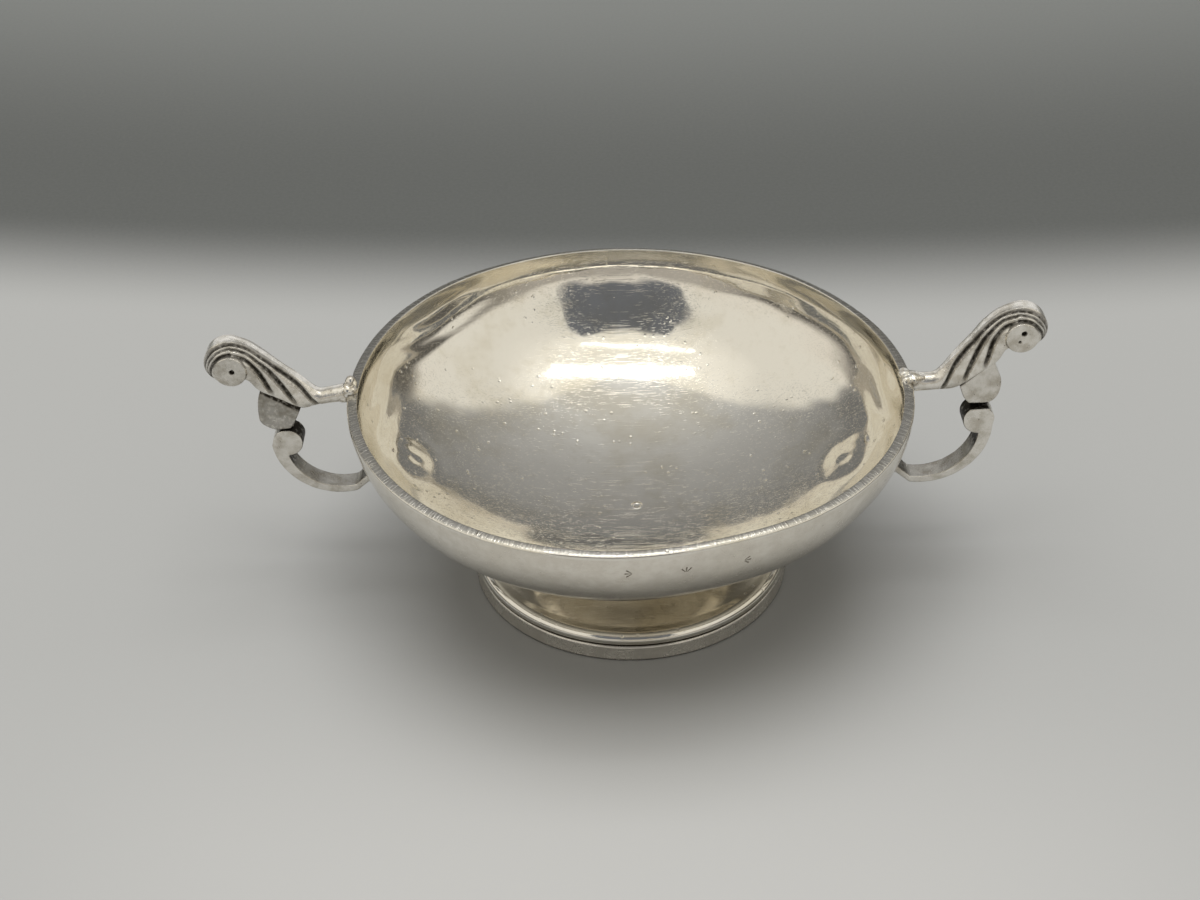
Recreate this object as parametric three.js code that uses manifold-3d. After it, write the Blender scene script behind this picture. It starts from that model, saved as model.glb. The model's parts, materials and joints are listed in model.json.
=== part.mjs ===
// A silver wedding cup: a raised bowl on a low pedestal foot, with two cast handles soldered on.
// Millimetres, +Z up. The origin is the centre of the foot's underside, and the handles lie along X.
import * as THREE from 'three';
import { mergeVertices } from 'three/addons/utils/BufferGeometryUtils.js';
import { ParametricGeometry } from 'three/addons/geometries/ParametricGeometry.js';
import Module from 'manifold-3d';

const wasm = await Module();
wasm.setup();

// The bowl. Its outside is a quarter of an ellipse from the lip down to the middle of its underside.
const rimRadius = 58;
const cupHeight = 45.9;
const bowlDepth = 33;
const bowlWall = 1.3;
const lipWidth = 2.3;
const lipFall = 0.75;
const lipDepth = 4;
const lipEdgeRound = 0.4;

// The foot: a raised pedestal with a rolled moulding, and the strip round its edge that the cup stands on
const footRadius = 33.9;
const bandHeight = 3.4;
const bandWidth = 1.9;
const bandFlare = 0.45;
const bandEdgeRound = 0.3;
const footWall = 1;
const rollRadius = 1.5;
const rollProud = 1.2;
const rollFromAngle = -75;
const rollToAngle = 82;
const neckRadius = 15;
const neckFlare = 1.5;
const coneRise = 1.6;
const neckBeadRadius = 0.7;

// The handles. Each has an arm with a fluted, rolled head, a lug below it, and a C-scroll down to the wall.
// Points on a handle are measured outwards and upwards from the spot on the lip where it is soldered.
const solderInset = 1;
const solderDrop = 0.4;

// The handles were set by hand, so each arm and each scroll has its own small angle, in degrees.
const leftArmAngle = -4.8;
const rightArmAngle = 4.8;
const leftScrollAngle = -3;
const rightScrollAngle = 3;

// The arm: a plain neck, a straight back up the fluted shank, and a head rolled round an eye
const armStart = 2.2;
const neckDipOut = 5;
const neckEnd = 8;
const neckTopUp = 0.6;
const neckStartRise = 0.3;
const neckDepth = 3.1;
const neckHalfWidth = 2;
const backFootOut = 6.8;
const backFootUp = 1.5;
const backTopOut = 15.9;
const backTopUp = 11.5;
const throatOut = 19.4;
const throatUp = 6.7;
const eyeOut = 22.6;
const eyeUp = 9.5;
const eyeDiscRadius = 3.45;
const eyeDiscProud = 0.3;
const eyePitWidth = 0.9;
const eyePitDepth = 0.7;
const headRadius = 5.7;
const headTailRadius = 3.7;
const headCoreRadius = 0.6;
const headHalfWidth = 4;
const fluteDepth = 0.8;

// The lug hangs from a flat seat under the shank
const seatInnerOut = 10.5;
const seatInnerUp = -1.7;
const seatOuterOut = 17.8;
const seatOuterUp = 3.95;
const lugThickness = 3.8;
const lugBulge = 1.9;
const lugFootInner = 1.7;
const lugFootOuter = 2.3;
const lugFootUp = -7.3;

// The scroll: a strap that tapers round an arc, with a volute at its head and a straight tail to the wall
const strapWidth = 4.6;
const strapTopThickness = 2.9;
const strapTipThickness = 1.5;
const innerArcReduction = 0.4;
const voluteRadius = 3.1;
const voluteOut = 14.7;
const voluteUp = -10.5;
const scrollRadius = 13.9;
const scrollOut = 3.9;
const scrollUp = -10.5;
const tailAngle = 258;
const wallSeatDrop = 16.6;
const castEdgeRound = 0.35;

// Solder, and the hairline that it fills between two pieces
const seam = 0.3;
const solderClearance = 0.2;
const padThickness = 0.9;
const padMargin = 1.1;
const rimSolderOut = 0.7;
const rimSolderReach = 2.1;
const rimSolderHalfWidth = 3.2;
const rimSolderDrop = 3.2;
const leftRimSolderRise = 3.4;
const rightRimSolderRise = 1.8;

// How finely the round forms are cut
const turnSegments = 56;
const bowlSteps = 11;
const curveSteps = 6;
const lumpSegments = 16;

const silver = { color: 0xc9c5bc, metalness: 1, roughness: 0.28 };
const wornSilver = { color: 0xaaa69c, metalness: 1, roughness: 0.42 };
const solderSilver = { color: 0xb5b0a4, metalness: 1, roughness: 0.5 };

const group = new THREE.Group();

// Solids from surfaces, and back

function solidFrom(geometry) {
  const bare = geometry.clone();
  bare.deleteAttribute('normal');
  bare.deleteAttribute('uv');
  const merged = mergeVertices(bare, 1e-4);
  const index = merged.index.array;
  const triangles = [];
  for (let i = 0; i < index.length; i += 3) {
    const [a, b, c] = [index[i], index[i + 1], index[i + 2]];
    if (a !== b && b !== c && c !== a) triangles.push(a, b, c);
  }
  const vertProperties = merged.attributes.position.array;
  const triVerts = Uint32Array.from(triangles);
  return new wasm.Manifold(new wasm.Mesh({ numProp: 3, vertProperties, triVerts }));
}

function geometryFrom(solid) {
  const mesh = solid.getMesh();
  const geometry = new THREE.BufferGeometry();
  geometry.setAttribute('position', new THREE.BufferAttribute(Float32Array.from(mesh.vertProperties), 3));
  geometry.setIndex(Array.from(mesh.triVerts));
  geometry.computeVertexNormals();
  return geometry;
}

function addPiece(parent, name, solid, finish) {
  const mesh = new THREE.Mesh(geometryFrom(solid), new THREE.MeshStandardMaterial(finish));
  mesh.name = name;
  parent.add(mesh);
  return mesh;
}

// A solid of revolution about Z. Its (radius, height) points start and end on the axis, or close.
function turned(points) {
  return solidFrom(new THREE.LatheGeometry(points, turnSegments).rotateX(Math.PI / 2));
}

// A flat outline drawn outwards and upwards, given its thickness across Y and softened edges
function cast(shape, thickness, steps = curveSteps) {
  const geometry = new THREE.ExtrudeGeometry(shape, {
    depth: thickness - 2 * castEdgeRound,
    bevelThickness: castEdgeRound,
    bevelSize: castEdgeRound,
    bevelOffset: -castEdgeRound,
    bevelSegments: 2,
    curveSegments: steps,
  });
  geometry.translate(0, 0, castEdgeRound - thickness / 2);
  return solidFrom(geometry.rotateX(Math.PI / 2));
}

// A skin through rings of as many points each, closed at both ends by its rings' middles
function lofted(rings) {
  const rows = rings.length + 1;
  const around = rings[0].length;
  const middleOf = (ring) => {
    const sum = new THREE.Vector3();
    ring.forEach((point) => sum.add(point));
    return sum.divideScalar(around);
  };
  const first = middleOf(rings[0]);
  const last = middleOf(rings[rings.length - 1]);
  const place = (u, v, target) => {
    const row = Math.round(u * rows);
    if (row === 0) return target.copy(first);
    if (row === rows) return target.copy(last);
    return target.copy(rings[row - 1][Math.round(v * around) % around]);
  };
  return solidFrom(new ParametricGeometry(place, rows, around));
}

// The bowl

// Radius of the bowl's outside, moved out by extra, at a height
function bowlRadiusAt(height, extra = 0) {
  const down = Math.min((cupHeight - height) / (bowlDepth + extra), 1);
  return (rimRadius + extra) * Math.sqrt(1 - down * down);
}

// Height of the bowl's outside, moved out by extra, at a radius
function bowlHeightAt(radius, extra = 0) {
  const across = Math.min(radius / (rimRadius + extra), 1);
  return cupHeight - (bowlDepth + extra) * Math.sqrt(1 - across * across);
}

// Points on a quarter ellipse about the middle of the mouth, from the axis up to a height
function bowlCurve(radius, depth, topHeight) {
  const lastTurn = Math.acos((cupHeight - topHeight) / depth);
  return Array.from({ length: bowlSteps + 1 }, (_, i) => {
    const turn = (lastTurn * i) / bowlSteps;
    return new THREE.Vector2(radius * Math.sin(turn), cupHeight - depth * Math.cos(turn));
  });
}

// The bowl with all its faces moved out by extra, which also serves to cut what is soldered to it
function bowlSolid(extra = 0) {
  const lipTop = cupHeight + extra;
  const lipOut = rimRadius + extra;
  const lipIn = rimRadius - lipWidth - extra;
  const wallIn = bowlWall + extra;
  const cornerCut = lipEdgeRound * (1 - Math.SQRT1_2);
  const outside = bowlCurve(lipOut, bowlDepth + extra, cupHeight - lipFall - lipEdgeRound);
  const inside = bowlCurve(rimRadius - wallIn, bowlDepth - wallIn, cupHeight - lipDepth);
  const lip = [
    new THREE.Vector2(lipOut - cornerCut, lipTop - lipFall - cornerCut),
    new THREE.Vector2(lipOut - lipEdgeRound, lipTop - lipFall),
    new THREE.Vector2(lipIn + lipEdgeRound / 2, lipTop),
    new THREE.Vector2(lipIn, lipTop - lipEdgeRound / 2),
  ];
  return turned([...outside, ...lip, ...inside.reverse()]);
}

// The space inside the bowl's outer face, moved out by extra, up to its lip
function bowlBlank(extra) {
  const outside = bowlCurve(rimRadius + extra, bowlDepth + extra, cupHeight);
  return turned([...outside, new THREE.Vector2(0, cupHeight)]);
}

// The foot

// A line that runs up the outside of a profile, moved towards the axis by a distance
function movedIn(line, distance) {
  return line.map((point, i) => {
    const along = line[Math.min(i + 1, line.length - 1)].clone().sub(line[Math.max(i - 1, 0)]).normalize();
    return new THREE.Vector2(point.x - along.y * distance, point.y + along.x * distance);
  });
}

// The foot's outer line: up the skirt behind the strip, round the roll and up the cone to the neck
function footLine() {
  const skirtRadius = footRadius - bandWidth - seam;
  const rollUp = bandHeight + seam + rollRadius;
  const rollOut = skirtRadius + rollProud - rollRadius;
  const [rollFrom, rollTo] = [rollFromAngle, rollToAngle].map(THREE.MathUtils.degToRad);
  const roll = new THREE.EllipseCurve(rollOut, rollUp, rollRadius, rollRadius, rollFrom, rollTo);
  const rollPoints = roll.getPoints(curveSteps);
  const shoulder = rollPoints[rollPoints.length - 1];
  const neckTop = bowlHeightAt(neckRadius, seam) - seam;
  const cone = new THREE.CubicBezierCurve(
    new THREE.Vector2(shoulder.x - footWall, shoulder.y),
    new THREE.Vector2((shoulder.x + neckRadius) / 2, shoulder.y + coneRise),
    new THREE.Vector2(neckRadius + neckFlare, shoulder.y + coneRise),
    new THREE.Vector2(neckRadius, neckTop),
  );
  const skirtTop = rollPoints[0].y - footWall / 2;
  const skirt = [new THREE.Vector2(skirtRadius, 0), new THREE.Vector2(skirtRadius, skirtTop)];
  return [...skirt, ...rollPoints, ...cone.getPoints(curveSteps)];
}

// Sheet metal between the outer line and the same line moved in by the wall
function footSolid() {
  const outer = footLine();
  const inner = movedIn(outer, footWall);
  inner[0].y = outer[0].y;
  return turned([...outer, ...inner.reverse(), outer[0]]);
}

// The foot filled to its axis and moved out by extra, which cuts what is soldered to it
function footBlank(extra) {
  const outer = movedIn(footLine(), -extra);
  const top = outer[outer.length - 1].y;
  return turned([new THREE.Vector2(0, 0), ...outer, new THREE.Vector2(0, top)]);
}

function footBandSolid() {
  const inner = footRadius - bandWidth;
  const top = footRadius - bandFlare;
  return turned([
    new THREE.Vector2(inner, 0),
    new THREE.Vector2(footRadius - bandEdgeRound, 0),
    new THREE.Vector2(footRadius, bandEdgeRound),
    new THREE.Vector2(top, bandHeight - bandEdgeRound),
    new THREE.Vector2(top - bandEdgeRound, bandHeight),
    new THREE.Vector2(inner, bandHeight),
    new THREE.Vector2(inner, 0),
  ]);
}

function neckSolderSolid() {
  const out = neckRadius + seam + neckBeadRadius;
  const up = bowlHeightAt(out + neckBeadRadius / 2) - seam - neckBeadRadius;
  const bead = new THREE.EllipseCurve(out, up, neckBeadRadius, neckBeadRadius);
  return turned(bead.getPoints(curveSteps)).subtract(footBlank(solderClearance));
}

// The arm: sections from the rim out along the neck, up the fluted shank and round the rolled head

const eye = new THREE.Vector2(eyeOut, eyeUp);
const seatInner = new THREE.Vector2(seatInnerOut, seatInnerUp);
const seatOuter = new THREE.Vector2(seatOuterOut, seatOuterUp);

// A point on the head, at a distance from the eye and an angle in degrees up from outwards
function fromEye(distance, degrees) {
  const angle = THREE.MathUtils.degToRad(degrees);
  return new THREE.Vector2(Math.cos(angle), Math.sin(angle)).multiplyScalar(distance).add(eye);
}

// Where the sections stand. The underside is straight between its points, and the crown is one curve.
const backShares = [0, 0.27, 0.52, 0.8, 1];
const crownTurns = [137, 102];
const throatTurn = 225;
const throatShares = [0.8, 0.3];

function armLines() {
  const neckUnder = neckTopUp - neckDepth;
  const backFoot = new THREE.Vector2(backFootOut, backFootUp);
  const backTop = new THREE.Vector2(backTopOut, backTopUp);
  const onSeat = (share) => seatInner.clone().lerp(seatOuter, share);
  const onBack = (share) => backFoot.clone().lerp(backTop, share);
  const under = [
    new THREE.Vector2(armStart, neckUnder),
    new THREE.Vector2(neckDipOut, neckUnder),
    new THREE.Vector2(neckEnd, neckUnder),
    onSeat(0),
    onSeat(0.5),
    onSeat(1),
    new THREE.Vector2(throatOut, throatUp),
    ...throatShares.map((share) => fromEye(eyeDiscRadius * share, throatTurn)),
  ];
  const crown = new THREE.SplineCurve([
    new THREE.Vector2(armStart, neckTopUp + neckStartRise),
    new THREE.Vector2(neckDipOut, neckTopUp),
    ...backShares.map(onBack),
    ...crownTurns.map((turn) => fromEye(headRadius, turn)),
  ]);
  return { under, crown };
}

// The three flutes, from the lowest on the head. Each leaves the underside at its own station along the arm
// and climbs the side of the sections towards its share of the way from the underside to the crown.
const flutes = [
  { start: 4.4, headShare: 0.61, climb: 1 },
  { start: 2.9, headShare: 0.81, climb: 1.15 },
  { start: 1.2, headShare: 0.93, climb: 1.05 },
];
const fluteHalfShare = 0.045;
const restingShare = 0.12;
const restingStep = 0.14;
const fluteRunIn = 0.9;
const edgeRise = 0.035;
const browShares = [0.4, 0.8];

function flutePlaces(station) {
  return flutes.map((flute, i) => {
    const past = Math.max(station - flute.start, 0);
    const climbed = flute.headShare * (1 - Math.exp(-past / flute.climb));
    const share = Math.max(climbed, restingShare + restingStep * i);
    return { share, depth: fluteDepth * Math.min(past / fluteRunIn, 1) };
  });
}

// Half of a section as [rise, width] pairs, from the middle of the underside to the crown.
// Rise runs from 0 to 1, and the sides draw in towards the crown, less the flutes' depth.
function halfSection(station, halfWidth) {
  const side = (rise) => halfWidth * Math.sqrt(1 - rise ** 3);
  const points = [
    [0, 0],
    [0, side(0) - castEdgeRound],
    [edgeRise, side(edgeRise)],
  ];
  let previous = edgeRise;
  for (const { share, depth } of flutePlaces(station)) {
    const near = share - fluteHalfShare;
    const far = share + fluteHalfShare;
    const ridge = (previous + near) / 2;
    points.push([ridge, side(ridge)]);
    points.push([near, side(near)]);
    points.push([share, Math.max(side(share) - depth, 0)]);
    points.push([far, side(far)]);
    previous = far;
  }
  for (const share of browShares) {
    const rise = previous + (1 - previous) * share;
    points.push([rise, side(rise)]);
  }
  points.push([1, 0]);
  return points;
}

// A whole section between a point on the underside and one on the crown
function armRing(under, crown, station, halfWidth) {
  const half = halfSection(station, halfWidth);
  const at = ([rise, width], sign) => {
    const spot = under.clone().lerp(crown, rise);
    return new THREE.Vector3(spot.x, sign * width, spot.y);
  };
  const near = half.map((pair) => at(pair, -1));
  const far = half.slice(1, -1).reverse().map((pair) => at(pair, 1));
  return [...near, ...far];
}

// The rings up the shank, and then those that turn about the eye from over it to below it
const perStation = 2;
const headSteps = 10;
const headTop = 85;
const headTail = -105;
const headDrawsInFrom = 0.4;

function armRings() {
  const { under, crown } = armLines();
  const stations = under.length - 1;
  const rings = [];
  for (let i = 0; i <= stations * perStation; i += 1) {
    const station = i / perStation;
    const index = Math.min(Math.floor(station), stations - 1);
    const low = under[index].clone().lerp(under[index + 1], station - index);
    const high = crown.getPoint(station / stations);
    const widening = THREE.MathUtils.smoothstep(station, 1, stations - 1);
    rings.push(armRing(low, high, station, THREE.MathUtils.lerp(neckHalfWidth, headHalfWidth, widening)));
  }
  for (let i = 0; i <= headSteps; i += 1) {
    const share = i / headSteps;
    const angle = THREE.MathUtils.lerp(headTop, headTail, share);
    const drawnIn = THREE.MathUtils.smoothstep(share, headDrawsInFrom, 1);
    const reach = THREE.MathUtils.lerp(headRadius, headTailRadius, drawnIn);
    const low = fromEye(headCoreRadius, angle);
    rings.push(armRing(low, fromEye(reach, angle), stations + i, headHalfWidth));
  }
  return rings;
}

function armSolid() {
  const disc = new THREE.Shape().absarc(eye.x, eye.y, eyeDiscRadius, 0, 2 * Math.PI);
  const faces = cast(disc, 2 * (headHalfWidth + eyeDiscProud));
  const pits = [-1, 1].map((sign) => {
    const pit = new THREE.BoxGeometry(eyePitWidth, 2 * eyePitDepth, eyePitWidth);
    return solidFrom(pit.translate(eye.x, sign * (headHalfWidth + eyeDiscProud), eye.y));
  });
  return lofted(armRings()).add(faces).subtract(pits[0]).subtract(pits[1]);
}

// The lug between the arm's seat and the scroll's volute, in the arm's measures

const lugEdgeShares = [0.25, 0.6];

function lugSolid(armAngle, scrollAngle) {
  const along = seatOuter.clone().sub(seatInner).normalize();
  const below = new THREE.Vector2(along.y, -along.x).multiplyScalar(seam);
  const innerTop = seatInner.clone().add(below);
  const outerTop = seatOuter.clone().add(below);
  const turn = THREE.MathUtils.degToRad(scrollAngle - armAngle);
  const foot = (out) => new THREE.Vector2(out, lugFootUp).rotateAround(new THREE.Vector2(), turn);
  const footInner = foot(voluteOut - lugFootInner);
  const footOuter = foot(voluteOut + lugFootOuter);
  const edge = (share) => footOuter.clone().lerp(outerTop, share).add(new THREE.Vector2(lugBulge, 0));
  const shape = new THREE.Shape();
  shape.moveTo(innerTop.x, innerTop.y);
  shape.lineTo(footInner.x, footInner.y);
  shape.lineTo(footOuter.x, footOuter.y);
  shape.splineThru([...lugEdgeShares.map(edge), outerTop]);
  return cast(shape, lugThickness, curveSteps / 2);
}

// The C-scroll: a strap between two arcs, not quite concentric, with a volute at its head and a straight tail

// A point on the bowl's outer face where the tail is soldered, in the measures of a scroll set at an angle
function wallSeat(scrollAngle) {
  const height = cupHeight - wallSeatDrop;
  const seat = new THREE.Vector2(bowlRadiusAt(height), height);
  const root = new THREE.Vector2(rimRadius - solderInset, cupHeight - solderDrop);
  return seat.sub(root).rotateAround(new THREE.Vector2(), -THREE.MathUtils.degToRad(scrollAngle));
}

function scrollLines(scrollAngle) {
  const turn = THREE.MathUtils.degToRad(tailAngle);
  const innerRadius = scrollRadius - (strapTopThickness + strapTipThickness) / 2 - innerArcReduction;
  const outer = new THREE.Vector2(scrollOut, scrollUp);
  const inner = new THREE.Vector2(
    outer.x + scrollRadius - strapTopThickness - innerRadius,
    outer.y - scrollRadius + strapTipThickness + innerRadius,
  );
  const tailStart = new THREE.Vector2(scrollRadius, 0).rotateAround(new THREE.Vector2(), turn).add(outer);
  const seat = wallSeat(scrollAngle);
  const along = seat.clone().sub(tailStart).normalize();
  const across = new THREE.Vector2(along.y, -along.x).multiplyScalar(strapTipThickness / 2);
  const end = seat.clone().addScaledVector(along, 2 * padThickness);
  return { outer, inner, innerRadius, turn, tailStart, seat, along, across, end };
}

function scrollSolid(scrollAngle) {
  const { outer, inner, innerRadius, turn, tailStart, across, end } = scrollLines(scrollAngle);
  const flatTurn = Math.asin((lugFootUp - seam - voluteUp) / voluteRadius);
  const notchTurn = Math.asin((voluteUp - voluteRadius - inner.y) / innerRadius);
  const shape = new THREE.Shape();
  shape.absarc(voluteOut, voluteUp, voluteRadius, flatTurn, 0, true);
  shape.absarc(outer.x, outer.y, scrollRadius, 0, turn, true);
  shape.lineTo(tailStart.x, tailStart.y);
  shape.lineTo(end.x - across.x, end.y - across.y);
  shape.lineTo(end.x + across.x, end.y + across.y);
  shape.absarc(inner.x, inner.y, innerRadius, turn, notchTurn, false);
  shape.absarc(voluteOut, voluteUp, voluteRadius, -Math.PI / 2, -Math.PI - flatTurn, true);
  return cast(shape, strapWidth);
}

// Both handles

// A solid of the whole cup, seen in the measures of a frame
function inMeasuresOf(frame, solid) {
  const toFrame = frame.matrixWorld.clone().invert();
  return solidFrom(geometryFrom(solid).applyMatrix4(toFrame));
}

function rimSolderSolid(frame, rise) {
  const halfHeight = (rise + rimSolderDrop) / 2;
  const lump = new THREE.SphereGeometry(1, lumpSegments, lumpSegments / 2);
  lump.scale(rimSolderReach, rimSolderHalfWidth, halfHeight);
  lump.translate(rimSolderOut, 0, rise - halfHeight);
  const beyond = new THREE.BoxGeometry(2 * rimSolderReach, 4 * rimSolderHalfWidth, 4 * halfHeight);
  beyond.translate(armStart - seam + rimSolderReach, 0, 0);
  return solidFrom(lump).subtract(solidFrom(beyond)).subtract(inMeasuresOf(frame, bowlSolid(seam)));
}

function wallSolderSolid(frame, scrollAngle) {
  const { seat, along } = scrollLines(scrollAngle);
  const plugLength = 8 * padThickness;
  const plug = new THREE.CylinderGeometry(1, 1, plugLength, lumpSegments);
  plug.scale(strapTipThickness / 2 + padMargin, 1, strapWidth / 2 + padMargin);
  plug.rotateX(Math.PI / 2);
  plug.rotateY(Math.atan2(along.x, along.y));
  plug.translate(seat.x, 0, seat.y);
  const wall = inMeasuresOf(frame, bowlBlank(seam));
  const skin = inMeasuresOf(frame, bowlBlank(seam + padThickness));
  return solidFrom(plug).intersect(skin).subtract(wall);
}

// A frame at the spot on the lip where a handle is soldered, turned up by an angle
function frameOnLip(mount, setAngle) {
  const frame = new THREE.Group();
  frame.position.set(rimRadius - solderInset, 0, cupHeight - solderDrop);
  frame.rotation.y = -THREE.MathUtils.degToRad(setAngle);
  mount.add(frame);
  return frame;
}

function addHandle(side, turnAboutZ, armAngle, scrollAngle, rimSolderRise) {
  const mount = new THREE.Group();
  mount.rotation.z = turnAboutZ;
  group.add(mount);
  const armFrame = frameOnLip(mount, armAngle);
  const scrollFrame = frameOnLip(mount, scrollAngle);
  group.updateMatrixWorld(true);
  const padSpace = inMeasuresOf(scrollFrame, bowlBlank(2 * seam + padThickness));
  addPiece(armFrame, `${side}_arm`, armSolid(), wornSilver);
  addPiece(armFrame, `${side}_lug`, lugSolid(armAngle, scrollAngle), wornSilver);
  addPiece(armFrame, `${side}_rim_solder`, rimSolderSolid(armFrame, rimSolderRise), solderSilver);
  addPiece(scrollFrame, `${side}_scroll`, scrollSolid(scrollAngle).subtract(padSpace), wornSilver);
  addPiece(scrollFrame, `${side}_wall_solder`, wallSolderSolid(scrollFrame, scrollAngle), solderSilver);
}

addPiece(group, 'bowl', bowlSolid(), silver);
addPiece(group, 'foot', footSolid(), silver);
addPiece(group, 'foot_band', footBandSolid(), silver);
addPiece(group, 'neck_solder', neckSolderSolid(), solderSilver);
addHandle('right', 0, rightArmAngle, rightScrollAngle, rightRimSolderRise);
addHandle('left', Math.PI, leftArmAngle, leftScrollAngle, leftRimSolderRise);

export default group;
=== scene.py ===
"""A silver wedding cup: a raised bowl on a pedestal foot, with two cast handles soldered to its rim and wall.

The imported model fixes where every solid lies. Each sub-assembly here is a class that models the same
pieces with their full surface: hammer waves in the bowl, flutes on the arms, lumps in the solder. Shapes
are worked out in millimetres and become metres when a piece is finished. +Z is up, and the handles lie
along X.
"""
import json
import logging
import math
from dataclasses import dataclass, field
from enum import Enum
from typing import Callable, Sequence

import bmesh
import bpy
from bmesh.types import BMesh, BMEdge, BMVert
from mathutils import Matrix, Vector, noise
from mathutils.kdtree import KDTree

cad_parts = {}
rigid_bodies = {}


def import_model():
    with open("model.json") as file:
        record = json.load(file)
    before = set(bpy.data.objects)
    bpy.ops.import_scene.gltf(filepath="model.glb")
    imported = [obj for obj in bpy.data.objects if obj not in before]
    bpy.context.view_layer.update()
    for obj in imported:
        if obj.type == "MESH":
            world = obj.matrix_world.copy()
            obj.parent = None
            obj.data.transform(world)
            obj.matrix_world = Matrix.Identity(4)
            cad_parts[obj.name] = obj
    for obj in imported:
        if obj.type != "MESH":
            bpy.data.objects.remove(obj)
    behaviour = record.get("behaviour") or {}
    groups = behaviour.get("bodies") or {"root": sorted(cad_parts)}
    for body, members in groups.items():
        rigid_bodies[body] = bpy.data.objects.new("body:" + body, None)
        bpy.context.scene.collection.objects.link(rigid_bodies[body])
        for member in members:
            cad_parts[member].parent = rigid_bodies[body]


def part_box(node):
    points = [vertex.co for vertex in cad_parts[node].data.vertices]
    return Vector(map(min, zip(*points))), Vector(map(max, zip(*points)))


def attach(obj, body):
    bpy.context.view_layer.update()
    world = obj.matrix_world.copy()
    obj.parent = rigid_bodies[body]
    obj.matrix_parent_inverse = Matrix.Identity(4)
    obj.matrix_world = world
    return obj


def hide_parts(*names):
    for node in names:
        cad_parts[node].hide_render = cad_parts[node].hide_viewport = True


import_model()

LOG = logging.getLogger("cup")
METRES = 0.001
WELD = 0.0005
RING_REACH = 0.02
CORNER_CUTS = 2
BALL_DETAIL = 4
CORNER_RAYS = 6
Color = tuple[float, float, float]
Socket = bpy.types.NodeSocket


class Slot(Enum):
    """The record's material slots."""

    SILVER = "silver"
    CAST = "cast_silver"
    SOLDER = "solder"


class Side(Enum):
    """Which handle, with its turn about the cup's axis in degrees."""

    RIGHT = 0.0
    LEFT = 180.0

    @property
    def word(self) -> str:
        """The side as it starts a node's name."""
        return self.name.lower()


def box_mm(node: str) -> tuple[Vector, Vector]:
    """Corners of a CAD node.

    Args:
        node: Name of the node.

    Returns:
        Its lowest and highest corners in millimetres.
    """
    low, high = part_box(node)
    return Vector(low) / METRES, Vector(high) / METRES


def smoothstep(low: float, high: float, value: float) -> float:
    """Smooth rise of a value between two limits.

    Args:
        low: Where the rise starts.
        high: Where it ends. It may lie below low for a fall.
        value: The value to test.

    Returns:
        0 before low, 1 past high, and a smooth step between.
    """
    share = min(max((value - low) / (high - low), 0.0), 1.0)
    return share * share * (3.0 - 2.0 * share)


def spline(points: Sequence[Vector], share: float) -> Vector:
    """A point on a smooth curve through points at even steps.

    Args:
        points: Points that the curve passes through.
        share: Place along the curve, from 0 to 1.

    Returns:
        The point there.
    """
    place = share * (len(points) - 1)
    index = min(int(place), len(points) - 2)
    t = place - index
    before = points[max(index - 1, 0)]
    start = points[index]
    end = points[index + 1]
    after = points[min(index + 2, len(points) - 1)]
    leave = (end - before) / 2
    arrive = (after - start) / 2
    return (
        start * (2 * t**3 - 3 * t**2 + 1)
        + leave * (t**3 - 2 * t**2 + t)
        + end * (3 * t**2 - 2 * t**3)
        + arrive * (t**3 - t**2)
    )


def polar(centre: Vector, radius: float, degrees: float) -> Vector:
    """A point at a distance and an angle from another, in a plane.

    Args:
        centre: The point to start from.
        radius: The distance.
        degrees: The angle up from the first axis.

    Returns:
        The point.
    """
    angle = math.radians(degrees)
    return centre + Vector((math.cos(angle), math.sin(angle))) * radius


def softened(points: Sequence[Vector]) -> list[Vector]:
    """Cut the corners of a closed outline again and again, so that they become round.

    Args:
        points: Corners of the outline. A corner that is given twice stays crisper.

    Returns:
        The rounded outline.
    """
    line = list(points)
    for _ in range(CORNER_CUTS):
        line = [a.lerp(b, share) for a, b in zip(line, line[1:] + line[:1]) for share in (0.25, 0.75)]
    return line


# Shaping with mesh operators


def spun_arc(
    bm: BMesh, radius: float, depth: float, height: float, degrees: float, steps: int
) -> list[BMVert]:
    """Draw an arc of an ellipse in the XZ plane, from its lowest point upwards and outwards.

    Args:
        bm: Mesh that gets the arc's vertices and edges.
        radius: Half width of the ellipse.
        depth: Half height of the ellipse.
        height: Height of its centre.
        degrees: How far round the arc goes, measured on the circle before it is scaled.
        steps: Number of edges.

    Returns:
        The arc's vertices from its lowest point on.
    """
    first = bm.verts.new((0, 0, -1))
    bmesh.ops.spin(
        bm,
        geom=[first],
        cent=(0, 0, 0),
        axis=(0, -1, 0),
        dvec=(0, 0, 0),
        angle=math.radians(degrees),
        steps=steps,
    )
    chain = [first]
    while True:
        last = chain[-1]
        ahead = [e.other_vert(last) for e in last.link_edges if e.other_vert(last) not in chain]
        if not ahead:
            break
        chain.append(ahead[0])
    bmesh.ops.scale(bm, vec=(radius, 1, depth), verts=chain)
    bmesh.ops.translate(bm, vec=(0, 0, height), verts=chain)
    return chain


def chained(bm: BMesh, points: Sequence[Vector], start: BMVert | None = None) -> list[BMVert]:
    """Draw a line of edges through (out, up) points in the XZ plane.

    Args:
        bm: Mesh that gets them.
        points: The points in order.
        start: A vertex that the line leaves from, if any.

    Returns:
        The new vertices.
    """
    made = [bm.verts.new((p.x, 0, p.y)) for p in points]
    line = ([start] if start else []) + made
    for a, b in zip(line, line[1:]):
        bm.edges.new((a, b))
    return made


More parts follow.
